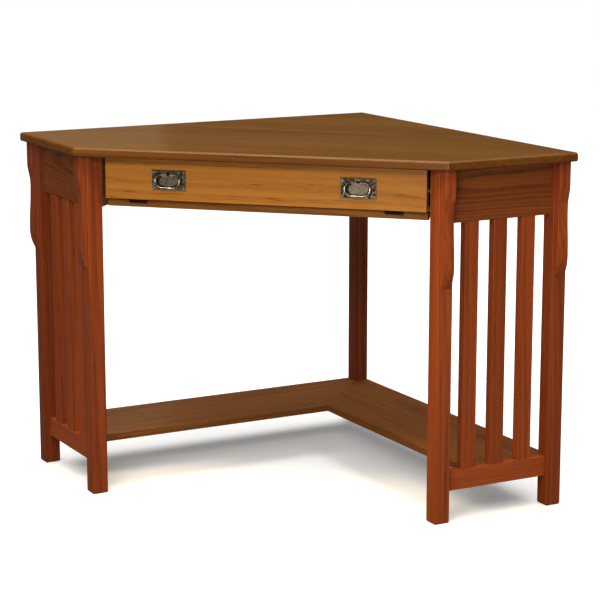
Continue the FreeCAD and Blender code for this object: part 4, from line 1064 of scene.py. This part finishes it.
def lay_floor(settings):
    """A pale floor that throws little light back and shows as white behind the desk."""
    made = bmesh.new()
    bmesh.ops.create_grid(made, x_segments=8, y_segments=8, size=FLOOR_REACH)
    mesh = bpy.data.meshes.new("studio_floor")
    made.to_mesh(mesh)
    made.free()
    floor = bpy.data.objects.new("studio_floor", mesh)
    bpy.context.scene.collection.objects.link(floor)
    material, tree, shader = new_material("pale_floor")
    path = tree.add("ShaderNodeLightPath").outputs
    seen = tree.mix(path["Is Diffuse Ray"], opaque(settings.floor_colour),
                    opaque(tint(settings.floor_colour, FLOOR_IN_DIFFUSE)))
    seen = tree.mix(path["Is Glossy Ray"], seen,
                    opaque(tint(settings.floor_colour, FLOOR_IN_GLOSS)))
    tree.feed(shader.inputs["Base Color"], seen)
    shader.inputs["Roughness"].default_value = 0.9
    shader.inputs["Specular IOR Level"].default_value = 0.1
    shader.inputs["Emission Color"].default_value = (1.0, 1.0, 1.0, 1.0)
    tree.feed(shader.inputs["Emission Strength"],
              tree.math("MULTIPLY", path["Is Camera Ray"], settings.floor_lift))
    mesh.materials.append(material)


def set_world(settings):
    """A room that is white to the camera, dim in reflections and soft on the desk's faces."""
    world = bpy.data.worlds.new("studio")
    world.use_nodes = True
    tree = Tree(world.node_tree)
    path = tree.add("ShaderNodeLightPath").outputs
    soft = world.node_tree.nodes["Background"]
    soft.inputs["Color"].default_value = ROOM_TONE
    soft.inputs["Strength"].default_value = settings.ambient
    dim = tree.add("ShaderNodeBackground", {"Strength": ROOM_IN_GLOSS})
    white = tree.add("ShaderNodeBackground", {"Strength": 1.0, "Color": (1, 1, 1, 1)})
    shown = soft
    for ray, other in (("Is Glossy Ray", dim), ("Is Camera Ray", white)):
        shown = tree.add("ShaderNodeMixShader", {0: path[ray], 1: shown.outputs[0],
                                                 2: other.outputs[0]})
    tree.feed(world.node_tree.nodes["World Output"].inputs[0], shown.outputs[0])
    bpy.context.scene.world = world


def set_camera(settings):
    data = bpy.data.cameras.new("camera")
    data.lens = settings.lens
    data.sensor_width = 36.0
    data.clip_start, data.clip_end = 0.05, 200.0
    camera = bpy.data.objects.new("camera", data)
    camera.location = settings.camera_place
    camera.rotation_euler = (math.radians(90) - settings.camera_pitch, 0.0, settings.camera_yaw)
    bpy.context.scene.collection.objects.link(camera)
    bpy.context.scene.camera = camera


class DESK_OT_stage(bpy.types.Operator):
    """Pale floor, soft studio lights and the camera"""
    bl_idname = "corner_desk.stage"
    bl_label = "Set Stage"

    def execute(self, context):
        settings = context.scene.desk_stage
        lay_floor(settings)
        set_world(settings)
        set_lights(settings)
        set_camera(settings)
        context.scene.view_settings.view_transform = "Standard"
        context.scene.view_settings.look = "None"
        return {"FINISHED"}


# ---------------------------------------------------------------- panel and registration

OPERATORS = (DESK_OT_top, DESK_OT_frame, DESK_OT_aprons, DESK_OT_shelf, DESK_OT_tray,
             DESK_OT_hinges, DESK_OT_pulls, DESK_OT_slides, DESK_OT_fittings, DESK_OT_stage)
SETTINGS = {"desk_wood": DeskWoodSettings, "desk_metal": DeskMetalSettings,
            "desk_stage": DeskStageSettings}


class DESK_PT_panel(bpy.types.Panel):
    """Lists the desk's finishing steps"""
    bl_idname = "DESK_PT_panel"
    bl_label = "Corner Desk"
    bl_space_type = "VIEW_3D"
    bl_region_type = "UI"
    bl_category = "Corner Desk"

    def draw(self, context):
        for operator in OPERATORS:
            self.layout.operator(operator.bl_idname)
        for name, group in SETTINGS.items():
            box = self.layout.box()
            for prop in group.__annotations__:
                box.prop(getattr(context.scene, name), prop)


CLASSES = (*SETTINGS.values(), *OPERATORS, DESK_PT_panel)


def register():
    for part in CLASSES:
        bpy.utils.register_class(part)
    for name, group in SETTINGS.items():
        setattr(bpy.types.Scene, name, PointerProperty(type=group))


def unregister():
    for name in SETTINGS:
        delattr(bpy.types.Scene, name)
    for part in reversed(CLASSES):
        bpy.utils.unregister_class(part)


def main():
    register()
    bpy.ops.corner_desk.top()
    bpy.ops.corner_desk.frame()
    bpy.ops.corner_desk.aprons()
    bpy.ops.corner_desk.shelf()
    bpy.ops.corner_desk.tray()
    bpy.ops.corner_desk.hinges()
    bpy.ops.corner_desk.pulls()
    bpy.ops.corner_desk.slides()
    bpy.ops.corner_desk.fittings()
    bpy.ops.corner_desk.stage()


if __name__ == "__main__":
    main()
